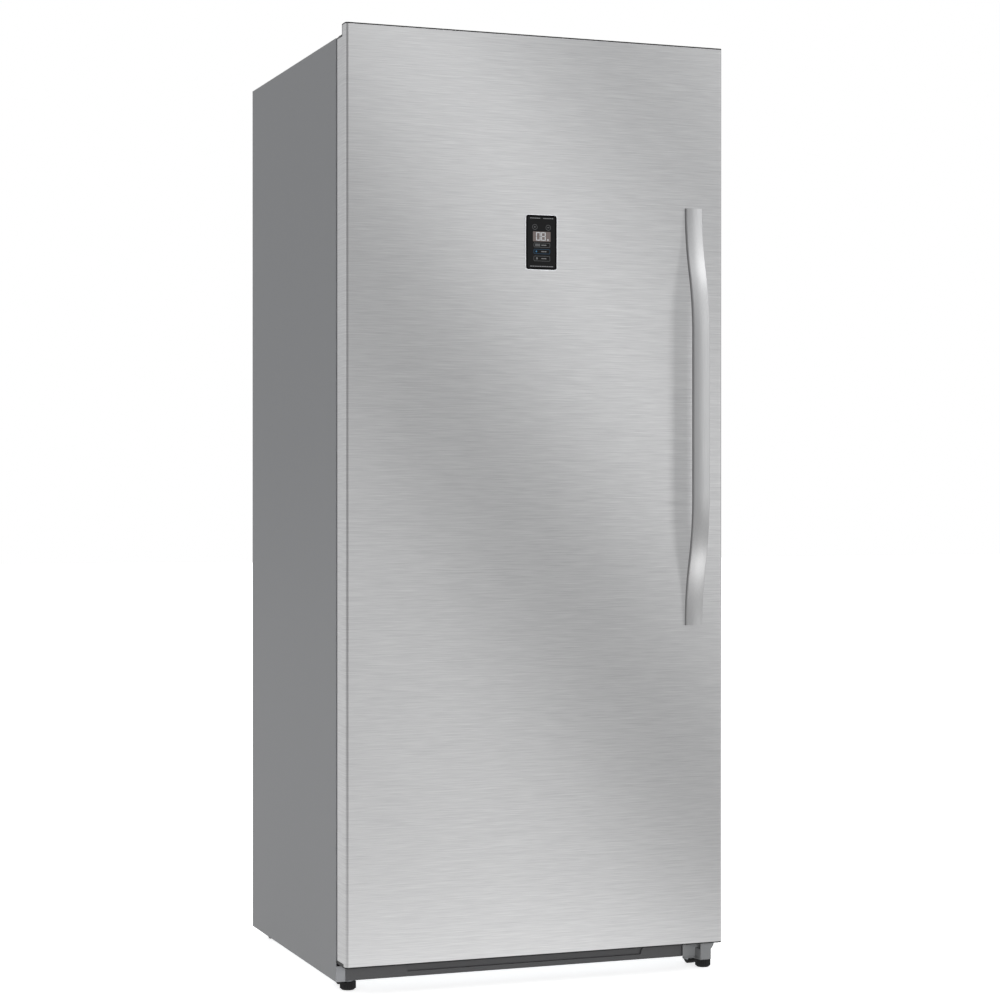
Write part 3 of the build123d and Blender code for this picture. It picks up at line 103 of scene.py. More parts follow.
def add_node(tree, kind, inputs=None, **settings):
    """Adds a node with its settings and inputs."""
    node = tree.nodes.new(kind)
    for name, value in settings.items():
        setattr(node, name, value)
    set_inputs(tree, node, inputs or {})
    return node


def start_material(name):
    """New material; gives it, its tree, its shader and the place on the piece, in metres."""
    material = bpy.data.materials.new(name)
    material.use_nodes = True
    tree = material.node_tree
    place = add_node(tree, "ShaderNodeTexCoord").outputs["Object"]
    return material, tree, tree.nodes["Principled BSDF"], place


def per_mm(size):
    """Texture scale of a pattern whose grains are this many millimetres long."""
    return 1000 / size


# The room is white, but dark round the camera, where shiny metal mirrors it, and dimmer behind the freezer.
room = bpy.data.worlds.new("white_room")
bpy.context.scene.world = room
room.use_nodes = True
tree = room.node_tree
tree.nodes.clear()
dark_side = Vector((-0.5, -0.866, 0.0))
toward = add_node(tree, "ShaderNodeTexCoord").outputs["Generated"]
facing = add_node(tree, "ShaderNodeVectorMath", {0: toward, 1: dark_side}, operation="DOT_PRODUCT")
wall_light = add_node(
    tree,
    "ShaderNodeMapRange",
    {"Value": facing, "From Min": 0.5, "From Max": 0.93, "To Min": 0.87, "To Max": 0.27},
    interpolation_type="SMOOTHSTEP",
)
rear_shade = {"Value": facing, "From Min": -0.85, "From Max": -0.2, "To Min": 0.74, "To Max": 1.0}
rear_light = add_node(tree, "ShaderNodeMapRange", rear_shade, interpolation_type="SMOOTHSTEP")
wall_light = add_node(tree, "ShaderNodeMath", {0: wall_light, 1: rear_light}, operation="MULTIPLY")
seen_room = add_node(tree, "ShaderNodeBackground", {"Color": srgb("#FFFFFF"), "Strength": 1.0})
lit_room = add_node(tree, "ShaderNodeBackground", {"Color": srgb("#FAFBFC"), "Strength": wall_light})
ray = add_node(tree, "ShaderNodeLightPath")
both_rooms = add_node(
    tree, "ShaderNodeMixShader", {0: ray.outputs["Is Camera Ray"], 1: lit_room, 2: seen_room}
)
add_node(tree, "ShaderNodeOutputWorld", {"Surface": both_rooms})

# The floor is pale vinyl, kept white by its own glow; mirrored in the metal it darkens towards the camera.
floor_vinyl, tree, shader, place = start_material("pale_floor_vinyl")
pebble = add_node(tree, "ShaderNodeTexNoise", {"Vector": place, "Scale": per_mm(3.0), "Detail": 3.0})
bump = add_node(tree, "ShaderNodeBump", {"Height": pebble, "Strength": 0.1, "Distance": 0.0002})
shine = {"Emission Color": srgb("#FFFFFF"), "Emission Strength": 0.75}
set_inputs(tree, shader, {"Base Color": srgb("#FDFDFD"), "Roughness": 0.6, "Normal": bump, **shine})
floor_place = add_node(tree, "ShaderNodeSeparateXYZ", {0: place})
floor_tone = add_node(
    tree,
    "ShaderNodeMapRange",
    {"Value": floor_place.outputs["Y"], "From Min": -1.6, "From Max": -0.4, "To Min": 0.46, "To Max": 0.92},
)
mirrored_floor = add_node(tree, "ShaderNodeEmission", {"Color": srgb("#FFFFFF"), "Strength": floor_tone})
ray = add_node(tree, "ShaderNodeLightPath")
both_floors = add_node(
    tree, "ShaderNodeMixShader", {0: ray.outputs["Is Glossy Ray"], 1: shader, 2: mirrored_floor}
)
set_inputs(tree, tree.nodes["Material Output"], {"Surface": both_floors})
floor_half = 30.0
floor_corners = [(x * floor_half, y * floor_half, 0) for x, y in ((-1, -1), (1, -1), (1, 1), (-1, 1))]
floor_mesh = bpy.data.meshes.new("floor")
floor_mesh.from_pydata(floor_corners, [], [(0, 1, 2, 3)])
floor_mesh.materials.append(floor_vinyl)
floor = bpy.data.objects.new("floor", floor_mesh)
bpy.context.collection.objects.link(floor)
floor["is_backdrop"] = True


def add_lamp(name, kind, energy, location, rotation, **settings):
    """New lamp; its rotation is in degrees."""
    data = bpy.data.lights.new(name, kind)
    data.energy = energy
    for setting, value in settings.items():
        setattr(data, setting, value)
    lamp = bpy.data.objects.new(name, data)
    lamp.location = location
    lamp.rotation_euler = [math.radians(angle) for angle in rotation]
    lamp.visible_camera = False
    bpy.context.collection.objects.link(lamp)
    return lamp


def light_only(lamp, *names):
    """Lets a lamp light only these solids; gives their collection."""
    lit = bpy.data.collections.new(f"lit_by_{lamp.name}")
    for name in names:
        lit.objects.link(solids[name])
    lamp.light_linking.receiver_collection = lit
    return lit


# One large soft box hangs over the freezer, and a tall one stands at the right of the camera.
add_lamp("top_soft_box", "AREA", 90, (0.5, 0.5, 5.5), (0, 0, 0), size=4.0)
tall_angle, tall_away, tall_height = 38, 6.5, 1.3
aimed_at_y = -0.35
tall_x = tall_away * math.sin(math.radians(tall_angle))
tall_y = aimed_at_y - tall_away * math.cos(math.radians(tall_angle))
tall_place = (tall_x, tall_y, tall_height)
tall_box = {"shape": "RECTANGLE", "size": 2.2, "size_y": 4.5}
add_lamp("tall_soft_box", "AREA", 12, tall_place, (90, 0, tall_angle), **tall_box)

# A low fill lights the painted and moulded pieces at the front, and the bead of the panel, and never shows
# in metal.  One card on the floor and one overhead light the ends of the handle.
low_fill = add_lamp("low_fill", "AREA", 300, (-0.7, -3.7, 0.35), (90, 0, -10), size=1.6)
low_fill.visible_glossy = False
fronts = ("side_panel_left", "side_panel_right", "kick_plate", "lower_hinge", "right_foot_bracket")
fronts_lit = light_only(low_fill, *fronts, "levelling_foot_left", "levelling_foot_right")
floor_card = add_lamp("floor_card", "AREA", 4.5, (1.1, -1.45, 0.03), (180, 0, 0), size=1.0)
light_only(floor_card, "door_handle")
high_card = add_lamp("high_card", "AREA", 2.5, (1.2, -1.2, 2.45), (51, 0, 48), size=0.8)
light_only(high_card, "door_handle")

# Five far lamps stand in a row, their beams patterned as if by wide slanting baffles.  They lay soft slanting
# bands on the door, stronger towards its left, top and bottom, and their spread softens the handle's shadow.
row_count, row_start, row_pitch, row_away, row_height = 5, 4.8, 0.8, 9.35, 1.0
first_watts, added_watts = 29, 7
beam_spread = math.radians(110)
band_slant = math.radians(54)
band_pitch = 0.76
band_peak = 0.90
lift_width, lift_power = 0.75, 2.0
left_slope, left_level = -2.3, 1.77
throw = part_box("door_skin")[0][1] + row_away
turns = 2 * math.pi / band_pitch
for n in range(row_count):
    lamp_x = row_start + row_pitch * n
    watts = first_watts + added_watts * n
    lamp = add_lamp(f"banded_lamp_{n + 1}", "SPOT", watts, (lamp_x, -row_away, row_height), (90, 0, 0))
    lamp.data.spot_size = beam_spread
    lamp.data.shadow_soft_size = 0.15
    light_only(lamp, "door_skin")
    lamp.data.use_nodes = True
    tree = lamp.data.node_tree
    # Where a beam meets the plane of the door: metres across it, and metres above the floor.
    beam_way = add_node(tree, "ShaderNodeTexCoord").outputs["Normal"]
    beam = add_node(tree, "ShaderNodeSeparateXYZ", {0: beam_way})
    lean = add_node(tree, "ShaderNodeMath", {0: beam.outputs["X"], 1: beam.outputs["Z"]}, operation="DIVIDE")
    across = add_node(tree, "ShaderNodeMath", {0: lean, 1: -throw, 2: lamp_x}, operation="MULTIPLY_ADD")
    climb = add_node(tree, "ShaderNodeMath", {0: beam.outputs["Y"], 1: beam.outputs["Z"]}, operation="DIVIDE")
    height = add_node(tree, "ShaderNodeMath", {0: climb, 1: -throw, 2: row_height}, operation="MULTIPLY_ADD")
    # The bands: a cosine along the slant, which stays bright below its lowest peak.
    side_share = add_node(tree, "ShaderNodeMath", {0: across, 1: math.sin(band_slant)}, operation="MULTIPLY")
    upward = {0: height, 1: math.cos(band_slant), 2: side_share}
    slant = add_node(tree, "ShaderNodeMath", upward, operation="MULTIPLY_ADD")
    lowest = add_node(tree, "ShaderNodeMath", {0: slant, 1: band_peak - band_pitch}, operation="MAXIMUM")
    phase = {0: lowest, 1: turns, 2: -turns * band_peak}
    wave = add_node(tree, "ShaderNodeMath", phase, operation="MULTIPLY_ADD")
    crest = add_node(tree, "ShaderNodeMath", {0: wave}, operation="COSINE")
    bands = add_node(tree, "ShaderNodeMath", {0: crest, 1: 0.5, 2: 0.5}, operation="MULTIPLY_ADD")
    # More light above and below the lamps' own height, and more towards the left.
    above = add_node(tree, "ShaderNodeMath", {0: height, 1: row_height}, operation="SUBTRACT")
    squared = add_node(tree, "ShaderNodeMath", {0: above, 1: above}, operation="MULTIPLY")
    widened = add_node(tree, "ShaderNodeMath", {0: squared, 1: lift_width, 2: 1.0}, operation="MULTIPLY_ADD")
    lift = add_node(tree, "ShaderNodeMath", {0: widened, 1: lift_power}, operation="POWER")
    left_line = {0: across, 1: left_slope, 2: left_level}
    leftward = add_node(tree, "ShaderNodeMath", left_line, operation="MULTIPLY_ADD")
    gain = add_node(tree, "ShaderNodeMath", {0: lift, 1: leftward}, operation="MULTIPLY")
    strength = add_node(tree, "ShaderNodeMath", {0: bands, 1: gain}, operation="MULTIPLY")
    set_inputs(tree, tree.nodes["Emission"], {"Strength": strength})

# ==== Cabinet shell ====
# Sides, top and front rail are steel sheet painted in the coil, roll-formed and hooked together.  The
# polyester paint gives a low even gloss over a very fine orange peel, and rounds the folds a little.


def tones(low, high):
    """The two ends of a colour mix, from sRGB hex values."""
    return {"A": srgb(low), "B": srgb(high)}


def dress(material, *names):
    """Gives solids their finish."""
    for name in names:
        for slot in solids[name].material_slots:
            slot.material = material


shell_paint, tree, shader, place = start_material("grey_polyester_paint")
fold = add_node(tree, "ShaderNodeBevel", {"Radius": 0.0012})
peel = add_node(tree, "ShaderNodeTexNoise", {"Vector": place, "Scale": per_mm(1.8), "Detail": 3.0})
bump = add_node(
    tree, "ShaderNodeBump", {"Height": peel, "Strength": 0.12, "Distance": 0.0002, "Normal": fold}
)
tone = add_node(tree, "ShaderNodeMix", {"Factor": peel, **tones("#58595B", "#5F6062")}, data_type="RGBA")
set_inputs(tree, shader, {"Base Color": tone, "Roughness": 0.42, "Normal": bump})
dress(shell_paint, "side_panel_left", "side_panel_right", "top_panel", "front_rail")

# ==== Back, base and machine bay sheets ====
# Hot-dip galvanised steel, pressed, screwed and never painted.  The zinc froze in crystals some 8 mm
# across that catch the light each in its own way, under a dull chromate skin.
zinc, tree, shader, place = start_material("galvanised_steel")
crystals = add_node(tree, "ShaderNodeTexVoronoi", {"Vector": place, "Scale": per_mm(8.0)})
crystal = add_node(tree, "ShaderNodeSeparateColor", {"Color": crystals.outputs["Color"]})
tone = add_node(tree, "ShaderNodeMix", {"Factor": crystal, **tones("#989CA0", "#B2B6B9")}, data_type="RGBA")
gloss = add_node(
    tree, "ShaderNodeMapRange", {"Value": crystal.outputs["Green"], "To Min": 0.38, "To Max": 0.54}
)
set_inputs(tree, shader, {"Base Color": tone, "Roughness": gloss, "Metallic": 1.0})
dress(zinc, "back_panel", "bottom_plate", "machine_bay_liner", "machine_bay_cover", "roller_frames")

# ==== Kick plate and lower hinge ====
# Pressed steel with a dark powder coat, behind and below the door's lower edge.  The powder melts to a
# satin skin with a fine pebble.
dark_powder, tree, shader, place = start_material("dark_powder_coat")
fold = add_node(tree, "ShaderNodeBevel", {"Radius": 0.001})
pebble = add_node(tree, "ShaderNodeTexNoise", {"Vector": place, "Scale": per_mm(0.9), "Detail": 3.0})
bump = add_node(
    tree, "ShaderNodeBump", {"Height": pebble, "Strength": 0.3, "Distance": 0.0002, "Normal": fold}
)
tone = add_node(tree, "ShaderNodeMix", {"Factor": pebble, **tones("#272728", "#323233")}, data_type="RGBA")
set_inputs(tree, shader, {"Base Color": tone, "Roughness": 0.45, "Normal": bump})
dress(dark_powder, "kick_plate", "lower_hinge")


def mm(*values):
    """Millimetres as metres."""
    return [value / 1000 for value in values]


def mesh_piece(name, points, faces, material, body):
    """New piece from points in metres, riding on a body; faces that meet at under 40 degrees look rounded."""
    mesh = bpy.data.meshes.new(name)
    mesh.from_pydata(points, [], faces)
    shape = bmesh.new()
    shape.from_mesh(mesh)
    bmesh.ops.recalc_face_normals(shape, faces=shape.faces)
    shape.to_mesh(mesh)
    shape.free()
    mesh.polygons.foreach_set("use_smooth", [True] * len(mesh.polygons))
    mesh.set_sharp_from_angle(angle=math.radians(40))
    mesh.materials.append(material)
    piece = bpy.data.objects.new(name, mesh)
    bpy.context.collection.objects.link(piece)
    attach(piece, body)
    return piece


def bar(name, outline, ends, axis, material, body):
    """New piece: an outline in metres, drawn along an axis, numbered from 0, from end to end."""
    points = [[*point[:axis], end, *point[axis:]] for end in ends for point in outline]
    count = len(outline)
    faces = [tuple(range(count)), tuple(range(2 * count - 1, count - 1, -1))]
    faces += [(n, (n + 1) % count, count + (n + 1) % count, count + n) for n in range(count)]
    return mesh_piece(name, points, faces, material, body)


# A strip of black foam tape behind the plate's right end closes the joint with the foot bracket.  Its cut
# cells look soft and dull.
tape_foam, tree, shader, place = start_material("black_foam_tape")
pores = add_node(tree, "ShaderNodeTexNoise", {"Vector": place, "Scale": per_mm(0.6), "Detail": 3.0})
bump = add_node(tree, "ShaderNodeBump", {"Height": pores, "Strength": 0.5, "Distance": 0.0003})
tone = add_node(tree, "ShaderNodeMix", {"Factor": pores, **tones("#101011", "#1B1B1C")}, data_type="RGBA")
set_inputs(tree, shader, {"Base Color": tone, "Roughness": 0.9, "Normal": bump})
plate_low, plate_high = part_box("kick_plate")
plate_thick, tape_gap, tape_half, tape_thick, tape_top, corner = mm(1.2, 0.3, 5.0, 3.0, 20.0, 0.6)
left, right = plate_high[0] - tape_half, plate_high[0] + tape_half
near = plate_low[1] + plate_thick + tape_gap
far = near + tape_thick
outline = [(left + corner, near), (right - corner, near), (right, near + corner), (right, far - corner)]
outline += [(right - corner, far), (left + corner, far), (left, far - corner), (left, near + corner)]
tape_ends = (plate_low[2] + corner, plate_low[2] + tape_top)
y_axis, z_axis = 1, 2
bar("kick_plate_tape", outline, tape_ends, z_axis, tape_foam, "cabinet")

# ==== Foot bracket and upper hinge ====
# Folded thick sheet steel, fixed under the front corner and on the top, and powder coated in a grey near
# the shell's.  The powder melts to a skin a little coarser and darker than its paint.
grey_powder, tree, shader, place = start_material("grey_powder_coat")
fold = add_node(tree, "ShaderNodeBevel", {"Radius": 0.001})
pebble = add_node(tree, "ShaderNodeTexNoise", {"Vector": place, "Scale": per_mm(0.9), "Detail": 3.0})
bump = add_node(
    tree, "ShaderNodeBump", {"Height": pebble, "Strength": 0.3, "Distance": 0.0002, "Normal": fold}
)
tone = add_node(tree, "ShaderNodeMix", {"Factor": pebble, **tones("#4B4C4D", "#555657")}, data_type="RGBA")
set_inputs(tree, shader, {"Base Color": tone, "Roughness": 0.42, "Normal": bump})
dress(grey_powder, "right_foot_bracket", "upper_hinge")

# ==== Screws and hinge pins ====
# Screws headed cold from steel wire, and pins turned from bar, all zinc plated and clear passivated.  The
# plating is bright, under a faint cloudy film.
plated, tree, shader, place = start_material("zinc_plated_steel")
film = add_node(tree, "ShaderNodeTexNoise", {"Vector": place, "Scale": per_mm(1.2), "Detail": 3.0})
tone = add_node(tree, "ShaderNodeMix", {"Factor": film, **tones("#B9BABA", "#CFD0CC")}, data_type="RGBA")
gloss = add_node(tree, "ShaderNodeMapRange", {"Value": film, "To Min": 0.24, "To Max": 0.36})
set_inputs(tree, shader, {"Base Color": tone, "Roughness": gloss, "Metallic": 1.0})
dress(plated, "cabinet_screws", "hinge_pins", "handle_screws")

# The cover's screws have cross recesses, shown as dark crosses on their heads.  Their near black is painted
# shade that stands in for the depth of the recesses, mottled a little at random.
recess_shade, tree, shader, place = start_material("painted_shade_screw_recess")
recess_mottle = add_node(tree, "ShaderNodeTexNoise", {"Vector": place, "Scale": per_mm(0.5), "Detail": 3.0})
tone = add_node(tree, "ShaderNodeMix", {"Factor": recess_mottle, **tones("#171718", "#29292A")}, data_type="RGBA")
set_inputs(tree, shader, {"Base Color": tone, "Roughness": 0.6})
screw_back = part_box("cabinet_screws")[1][1]
cover_low, cover_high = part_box("machine_bay_cover")
from_side, from_below, from_above = mm(23.5, 6.0, 8.0)
screw_columns = (cover_low[0] + from_side, 0.0, cover_high[0] - from_side)
screw_rows = (cover_low[2] + from_below, cover_high[2] - from_above)
reach, half_bar, proud = mm(2.6, 0.5, 0.05)
quarter = [(reach, -half_bar), (reach, half_bar), (half_bar, half_bar)]
cross = []
for cosine, sine in ((1, 0), (0, 1), (-1, 0), (0, -1)):
    cross += [(x * cosine - z * sine, x * sine + z * cosine) for x, z in quarter]
cross_ends = (screw_back - proud, screw_back + proud)
# Each cross is a thin dark sheet on a screw's head: painted shade where the recess would be.
for column, x in enumerate(screw_columns, 1):
    for row, z in enumerate(screw_rows, 1):
        name = f"cover_screw_recess_{column}_{row}"
        outline = [(x + u, z + v) for u, v in cross]
        bar(name, outline, cross_ends, y_axis, recess_shade, "cabinet")

# ==== Foam ====
# Rigid polyurethane, blown between the shell and the liner, and sealed in on all sides.  Its skin is
# cream and full of fine cells.
foam, tree, shader, place = start_material("polyurethane_foam")
cells = add_node(tree, "ShaderNodeTexNoise", {"Vector": place, "Scale": per_mm(1.5), "Detail": 3.0})
bump = add_node(tree, "ShaderNodeBump", {"Height": cells, "Strength": 0.6, "Distance": 0.0005})
tone = add_node(tree, "ShaderNodeMix", {"Factor": cells, **tones("#D9CB9B", "#EBE1BC")}, data_type="RGBA")
set_inputs(tree, shader, {"Base Color": tone, "Roughness": 0.9, "Normal": bump})
dress(foam, "cabinet_foam", "door_foam")

# ==== Liners, duct cover, runners and switch ====
# White high-impact polystyrene.  The two liners are vacuum formed, which leaves the sheet a little wavy
# under its gloss and rounds its edges; the smaller pieces are moulded from the same stock.
liner_white, tree, shader, place = start_material("white_polystyrene")
rounding = add_node(tree, "ShaderNodeBevel", {"Radius": 0.003})
waves = add_node(tree, "ShaderNodeTexNoise", {"Vector": place, "Scale": per_mm(60.0), "Detail": 1.0})
bump = add_node(
    tree, "ShaderNodeBump", {"Height": waves, "Strength": 0.2, "Distance": 0.001, "Normal": rounding}
)
tone = add_node(tree, "ShaderNodeMix", {"Factor": waves, **tones("#EAECEE", "#EFF1F2")}, data_type="RGBA")
gloss = add_node(tree, "ShaderNodeMapRange", {"Value": waves, "To Min": 0.28, "To Max": 0.34})
set_inputs(tree, shader, {"Base Color": tone, "Roughness": gloss, "IOR": 1.59, "Normal": bump})
dress(liner_white, "inner_liner", "door_liner", "duct_cover", "drawer_runners")
dress(liner_white, "door_switch_body", "door_switch_plunger")

# ==== Compressor and its mounts ====
# The shell is two deep-drawn steel bowls welded together and dipped in black enamel, which sags into a
# long soft orange peel.  Four grommets of black rubber, dull and a little dusty, carry it.
black_enamel, tree, shader, place = start_material("black_baked_enamel")
sag = add_node(tree, "ShaderNodeTexNoise", {"Vector": place, "Scale": per_mm(6.0), "Detail": 2.0})
bump = add_node(tree, "ShaderNodeBump", {"Height": sag, "Strength": 0.5, "Distance": 0.0003})
tone = add_node(tree, "ShaderNodeMix", {"Factor": sag, **tones("#0D0D0E", "#161617")}, data_type="RGBA")
set_inputs(tree, shader, {"Base Color": tone, "Roughness": 0.2, "Normal": bump})
dress(black_enamel, "compressor")
rubber, tree, shader, place = start_material("black_rubber")
dust = add_node(tree, "ShaderNodeTexNoise", {"Vector": place, "Scale": per_mm(0.7), "Detail": 3.0})
bump = add_node(tree, "ShaderNodeBump", {"Height": dust, "Strength": 0.4, "Distance": 0.0002})
tone = add_node(tree, "ShaderNodeMix", {"Factor": dust, **tones("#171718", "#232324")}, data_type="RGBA")
set_inputs(tree, shader, {"Base Color": tone, "Roughness": 0.75, "Normal": bump})
dress(rubber, "compressor_mounts")

# ==== Drain pan, cord gland and fan motor ====
# A pan over the compressor for the water of defrosting, a gland in the bay's cover, and the fan's motor on
# its carrier.  All are moulded in black polypropylene, with its waxy half-gloss and faint flow marks.
black_pp, tree, shader, place = start_material("black_polypropylene")
flow = add_node(tree, "ShaderNodeTexNoise", {"Vector": place, "Scale": per_mm(12.0), "Detail": 3.0})
bump = add_node(tree, "ShaderNodeBump", {"Height": flow, "Strength": 0.3, "Distance": 0.0003})
tone = add_node(tree, "ShaderNodeMix", {"Factor": flow, **tones("#1C1C1D", "#272728")}, data_type="RGBA")
gloss = add_node(tree, "ShaderNodeMapRange", {"Value": flow, "To Min": 0.36, "To Max": 0.5})
set_inputs(tree, shader, {"Base Color": tone, "Roughness": gloss, "IOR": 1.49, "Normal": bump})
dress(black_pp, "drain_pan", "cord_gland", "fan_motor")

# ==== Refrigerant pipes and condenser loops ====
# Drawn copper tube, brazed at its joints and browned in patches by the torch and the air.  The loops are
# laid against both side panels and foamed in.
copper, tree, shader, place = start_material("drawn_copper")
tarnish = add_node(tree, "ShaderNodeTexNoise", {"Vector": place, "Scale": per_mm(25.0), "Detail": 4.0})
tone = add_node(tree, "ShaderNodeMix", {"Factor": tarnish, **tones("#A9663F", "#D69A74")}, data_type="RGBA")
gloss = add_node(tree, "ShaderNodeMapRange", {"Value": tarnish, "To Min": 0.42, "To Max": 0.22})
set_inputs(tree, shader, {"Base Color": tone, "Roughness": gloss, "Metallic": 1.0})
dress(copper, "refrigerant_pipes", "condenser_loops")

# ==== Evaporator and defrost heater ====
# Thin rolled aluminium fins on aluminium tube, dulled by frost and defrosting; under them runs a steel
# sheathed heater that its own heat has browned.
fin_metal, tree, shader, place = start_material("rolled_aluminium")
along = add_node(
    tree, "ShaderNodeMapping", {"Vector": place, "Scale": (per_mm(1.5), per_mm(1.5), per_mm(30))}
)
rolled = add_node(tree, "ShaderNodeTexNoise", {"Vector": along, "Scale": 1.0, "Detail": 4.0})
tone = add_node(tree, "ShaderNodeMix", {"Factor": rolled, **tones("#C4C6C8", "#DCDDDE")}, data_type="RGBA")
gloss = add_node(tree, "ShaderNodeMapRange", {"Value": rolled, "To Min": 0.3, "To Max": 0.46})
set_inputs(tree, shader, {"Base Color": tone, "Roughness": gloss, "Metallic": 1.0})
dress(fin_metal, "evaporator_coil")
sheath, tree, shader, place = start_material("heat_browned_steel")
browning = add_node(tree, "ShaderNodeTexNoise", {"Vector": place, "Scale": per_mm(20.0), "Detail": 3.0})
tone = add_node(tree, "ShaderNodeMix", {"Factor": browning, **tones("#7A6C5A", "#A29E96")}, data_type="RGBA")
set_inputs(tree, shader, {"Base Color": tone, "Roughness": 0.4, "Metallic": 1.0})
dress(sheath, "defrost_heater")

# ==== Fan ====
# Blades and hub are moulded in one shot of grey ABS and pushed on the motor's shaft.  The polished tool
# leaves them smooth, with faint swirls.
fan_abs, tree, shader, place = start_material("grey_abs")
swirl = add_node(tree, "ShaderNodeTexNoise", {"Vector": place, "Scale": per_mm(4.0), "Detail": 3.0})
bump = add_node(tree, "ShaderNodeBump", {"Height": swirl, "Strength": 0.15, "Distance": 0.0002})
tone = add_node(tree, "ShaderNodeMix", {"Factor": swirl, **tones("#56585B", "#606265")}, data_type="RGBA")
set_inputs(tree, shader, {"Base Color": tone, "Roughness": 0.35, "IOR": 1.54, "Normal": bump})
dress(fan_abs, "fan_blade")

# ==== Shelves and their trims ====
# Tempered soda-lime glass with ground edges, clipped into moulded trims.  The glass is faintly green, and
# its rolled surface is never quite flat; the trims are silver-grey ABS with a fine fleck.
shelf_glass, tree, shader, place = start_material("tempered_glass")
roll = add_node(tree, "ShaderNodeTexNoise", {"Vector": place, "Scale": per_mm(120.0)})
bump = add_node(tree, "ShaderNodeBump", {"Height": roll, "Strength": 0.1, "Distance": 0.001})
gloss = add_node(tree, "ShaderNodeMapRange", {"Value": roll, "To Min": 0.0, "To Max": 0.04})
tone = add_node(tree, "ShaderNodeMix", {"Factor": roll, **tones("#EDF6F2", "#F3FAF7")}, data_type="RGBA")
clear = {"Transmission Weight": 1.0, "IOR": 1.52}
set_inputs(tree, shader, {"Base Color": tone, "Roughness": gloss, "Normal": bump, **clear})
dress(shelf_glass, "glass_shelves")
trim_abs, tree, shader, place = start_material("silver_grey_abs")
fleck = add_node(tree, "ShaderNodeTexNoise", {"Vector": place, "Scale": per_mm(0.6), "Detail": 3.0})
bump = add_node(tree, "ShaderNodeBump", {"Height": fleck, "Strength": 0.15, "Distance": 0.0002})
tone = add_node(tree, "ShaderNodeMix", {"Factor": fleck, **tones("#AAADB0", "#BEC1C4")}, data_type="RGBA")
set_inputs(tree, shader, {"Base Color": tone, "Roughness": 0.34, "IOR": 1.54, "Normal": bump})
dress(trim_abs, "shelf_trims")

# ==== Drawer and door bins ====
# Clear polystyrene, injection moulded in polished tools: bright, very slightly blue, with soft flow
# lines away from the gates.
clear_ps, tree, shader, place = start_material("clear_polystyrene")
gate_flow = add_node(tree, "ShaderNodeTexNoise", {"Vector": place, "Scale": per_mm(30.0), "Detail": 2.0})
bump = add_node(tree, "ShaderNodeBump", {"Height": gate_flow, "Strength": 0.15, "Distance": 0.001})
gloss = add_node(tree, "ShaderNodeMapRange", {"Value": gate_flow, "To Min": 0.03, "To Max": 0.12})
tone = add_node(tree, "ShaderNodeMix", {"Factor": gate_flow, **tones("#F6FAFC", "#FBFDFE")}, data_type="RGBA")
clear = {"Transmission Weight": 1.0, "IOR": 1.59}
set_inputs(tree, shader, {"Base Color": tone, "Roughness": gloss, "Normal": bump, **clear})
bins = [name for name in solids if name.startswith("door_bin_")]
dress(clear_ps, "freezer_drawer", *bins)

# ==== Basket ====
# Moulded in one piece, slotted on all four sides for the cold air, in white polypropylene, which stays
# tough when cold.  It is waxy, and softly see-through.
white_pp, tree, shader, place = start_material("white_polypropylene")
wax = add_node(tree, "ShaderNodeTexNoise", {"Vector": place, "Scale": per_mm(10.0), "Detail": 3.0})
bump = add_node(tree, "ShaderNodeBump", {"Height": wax, "Strength": 0.25, "Distance": 0.0003})
tone = add_node(tree, "ShaderNodeMix", {"Factor": wax, **tones("#E3E6E8", "#EEF0F1")}, data_type="RGBA")
waxy = {"Subsurface Weight": 0.15, "Subsurface Radius": mm(2.0, 2.0, 2.0), "IOR": 1.49}
set_inputs(tree, shader, {"Base Color": tone, "Roughness": 0.4, "Normal": bump, **waxy})
dress(white_pp, "lower_basket")

# ==== Lamp ====
# A strip of small white diodes under a frosted polycarbonate lens, snapped to the liner's ceiling.  The
# lens spreads their light, but brighter spots still show.
lens, tree, shader, place = start_material("frosted_polycarbonate")
frost = add_node(tree, "ShaderNodeTexNoise", {"Vector": place, "Scale": per_mm(0.5), "Detail": 3.0})
bump = add_node(tree, "ShaderNodeBump", {"Height": frost, "Strength": 0.4, "Distance": 0.0002})
tone = add_node(tree, "ShaderNodeMix", {"Factor": frost, **tones("#EFEDE6", "#F9F8F4")}, data_type="RGBA")
diodes = add_node(tree, "ShaderNodeTexNoise", {"Vector": place, "Scale": per_mm(22.0)})
glow = add_node(tree, "ShaderNodeMapRange", {"Value": diodes, "To Min": 0.6, "To Max": 1.6})
lit = {"Emission Color": srgb("#FFF6E6"), "Emission Strength": glow}
set_inputs(tree, shader, {"Base Color": tone, "Roughness": 0.5, "IOR": 1.58, "Normal": bump, **lit})
dress(lens, "led_lamp")

# ==== Door wrap ====
# One sheet of brushed stainless steel folded round the foam.  The belt leaves fine level scratches, drawn
# here coarser than they are so that they show, and the faint clouding of the mill finish.
wrap_steel, tree, shader, place = start_material("brushed_stainless_steel")
fold = add_node(tree, "ShaderNodeBevel", {"Radius": 0.0008})
level = add_node(
    tree, "ShaderNodeMapping", {"Vector": place, "Scale": (per_mm(120), per_mm(120), per_mm(1.4))}
)
long_grain = add_node(
    tree, "ShaderNodeTexNoise", {"Vector": level, "Scale": 1.0, "Detail": 5.0, "Roughness": 0.62}
)
level = add_node(tree, "ShaderNodeMapping", {"Vector": place, "Scale": (per_mm(45), per_mm(45), per_mm(0.8))})
fine_grain = add_node(tree, "ShaderNodeTexNoise", {"Vector": level, "Scale": 1.0, "Detail": 3.0})
both_grains = add_node(tree, "ShaderNodeMath", {0: long_grain, 1: fine_grain}, operation="ADD")
grain = add_node(tree, "ShaderNodeMapRange", {"Value": both_grains, "From Min": 0.7, "From Max": 1.3})
tone = add_node(tree, "ShaderNodeMix", {"Factor": grain, **tones("#BDBDBE", "#D3D3D3")}, data_type="RGBA")
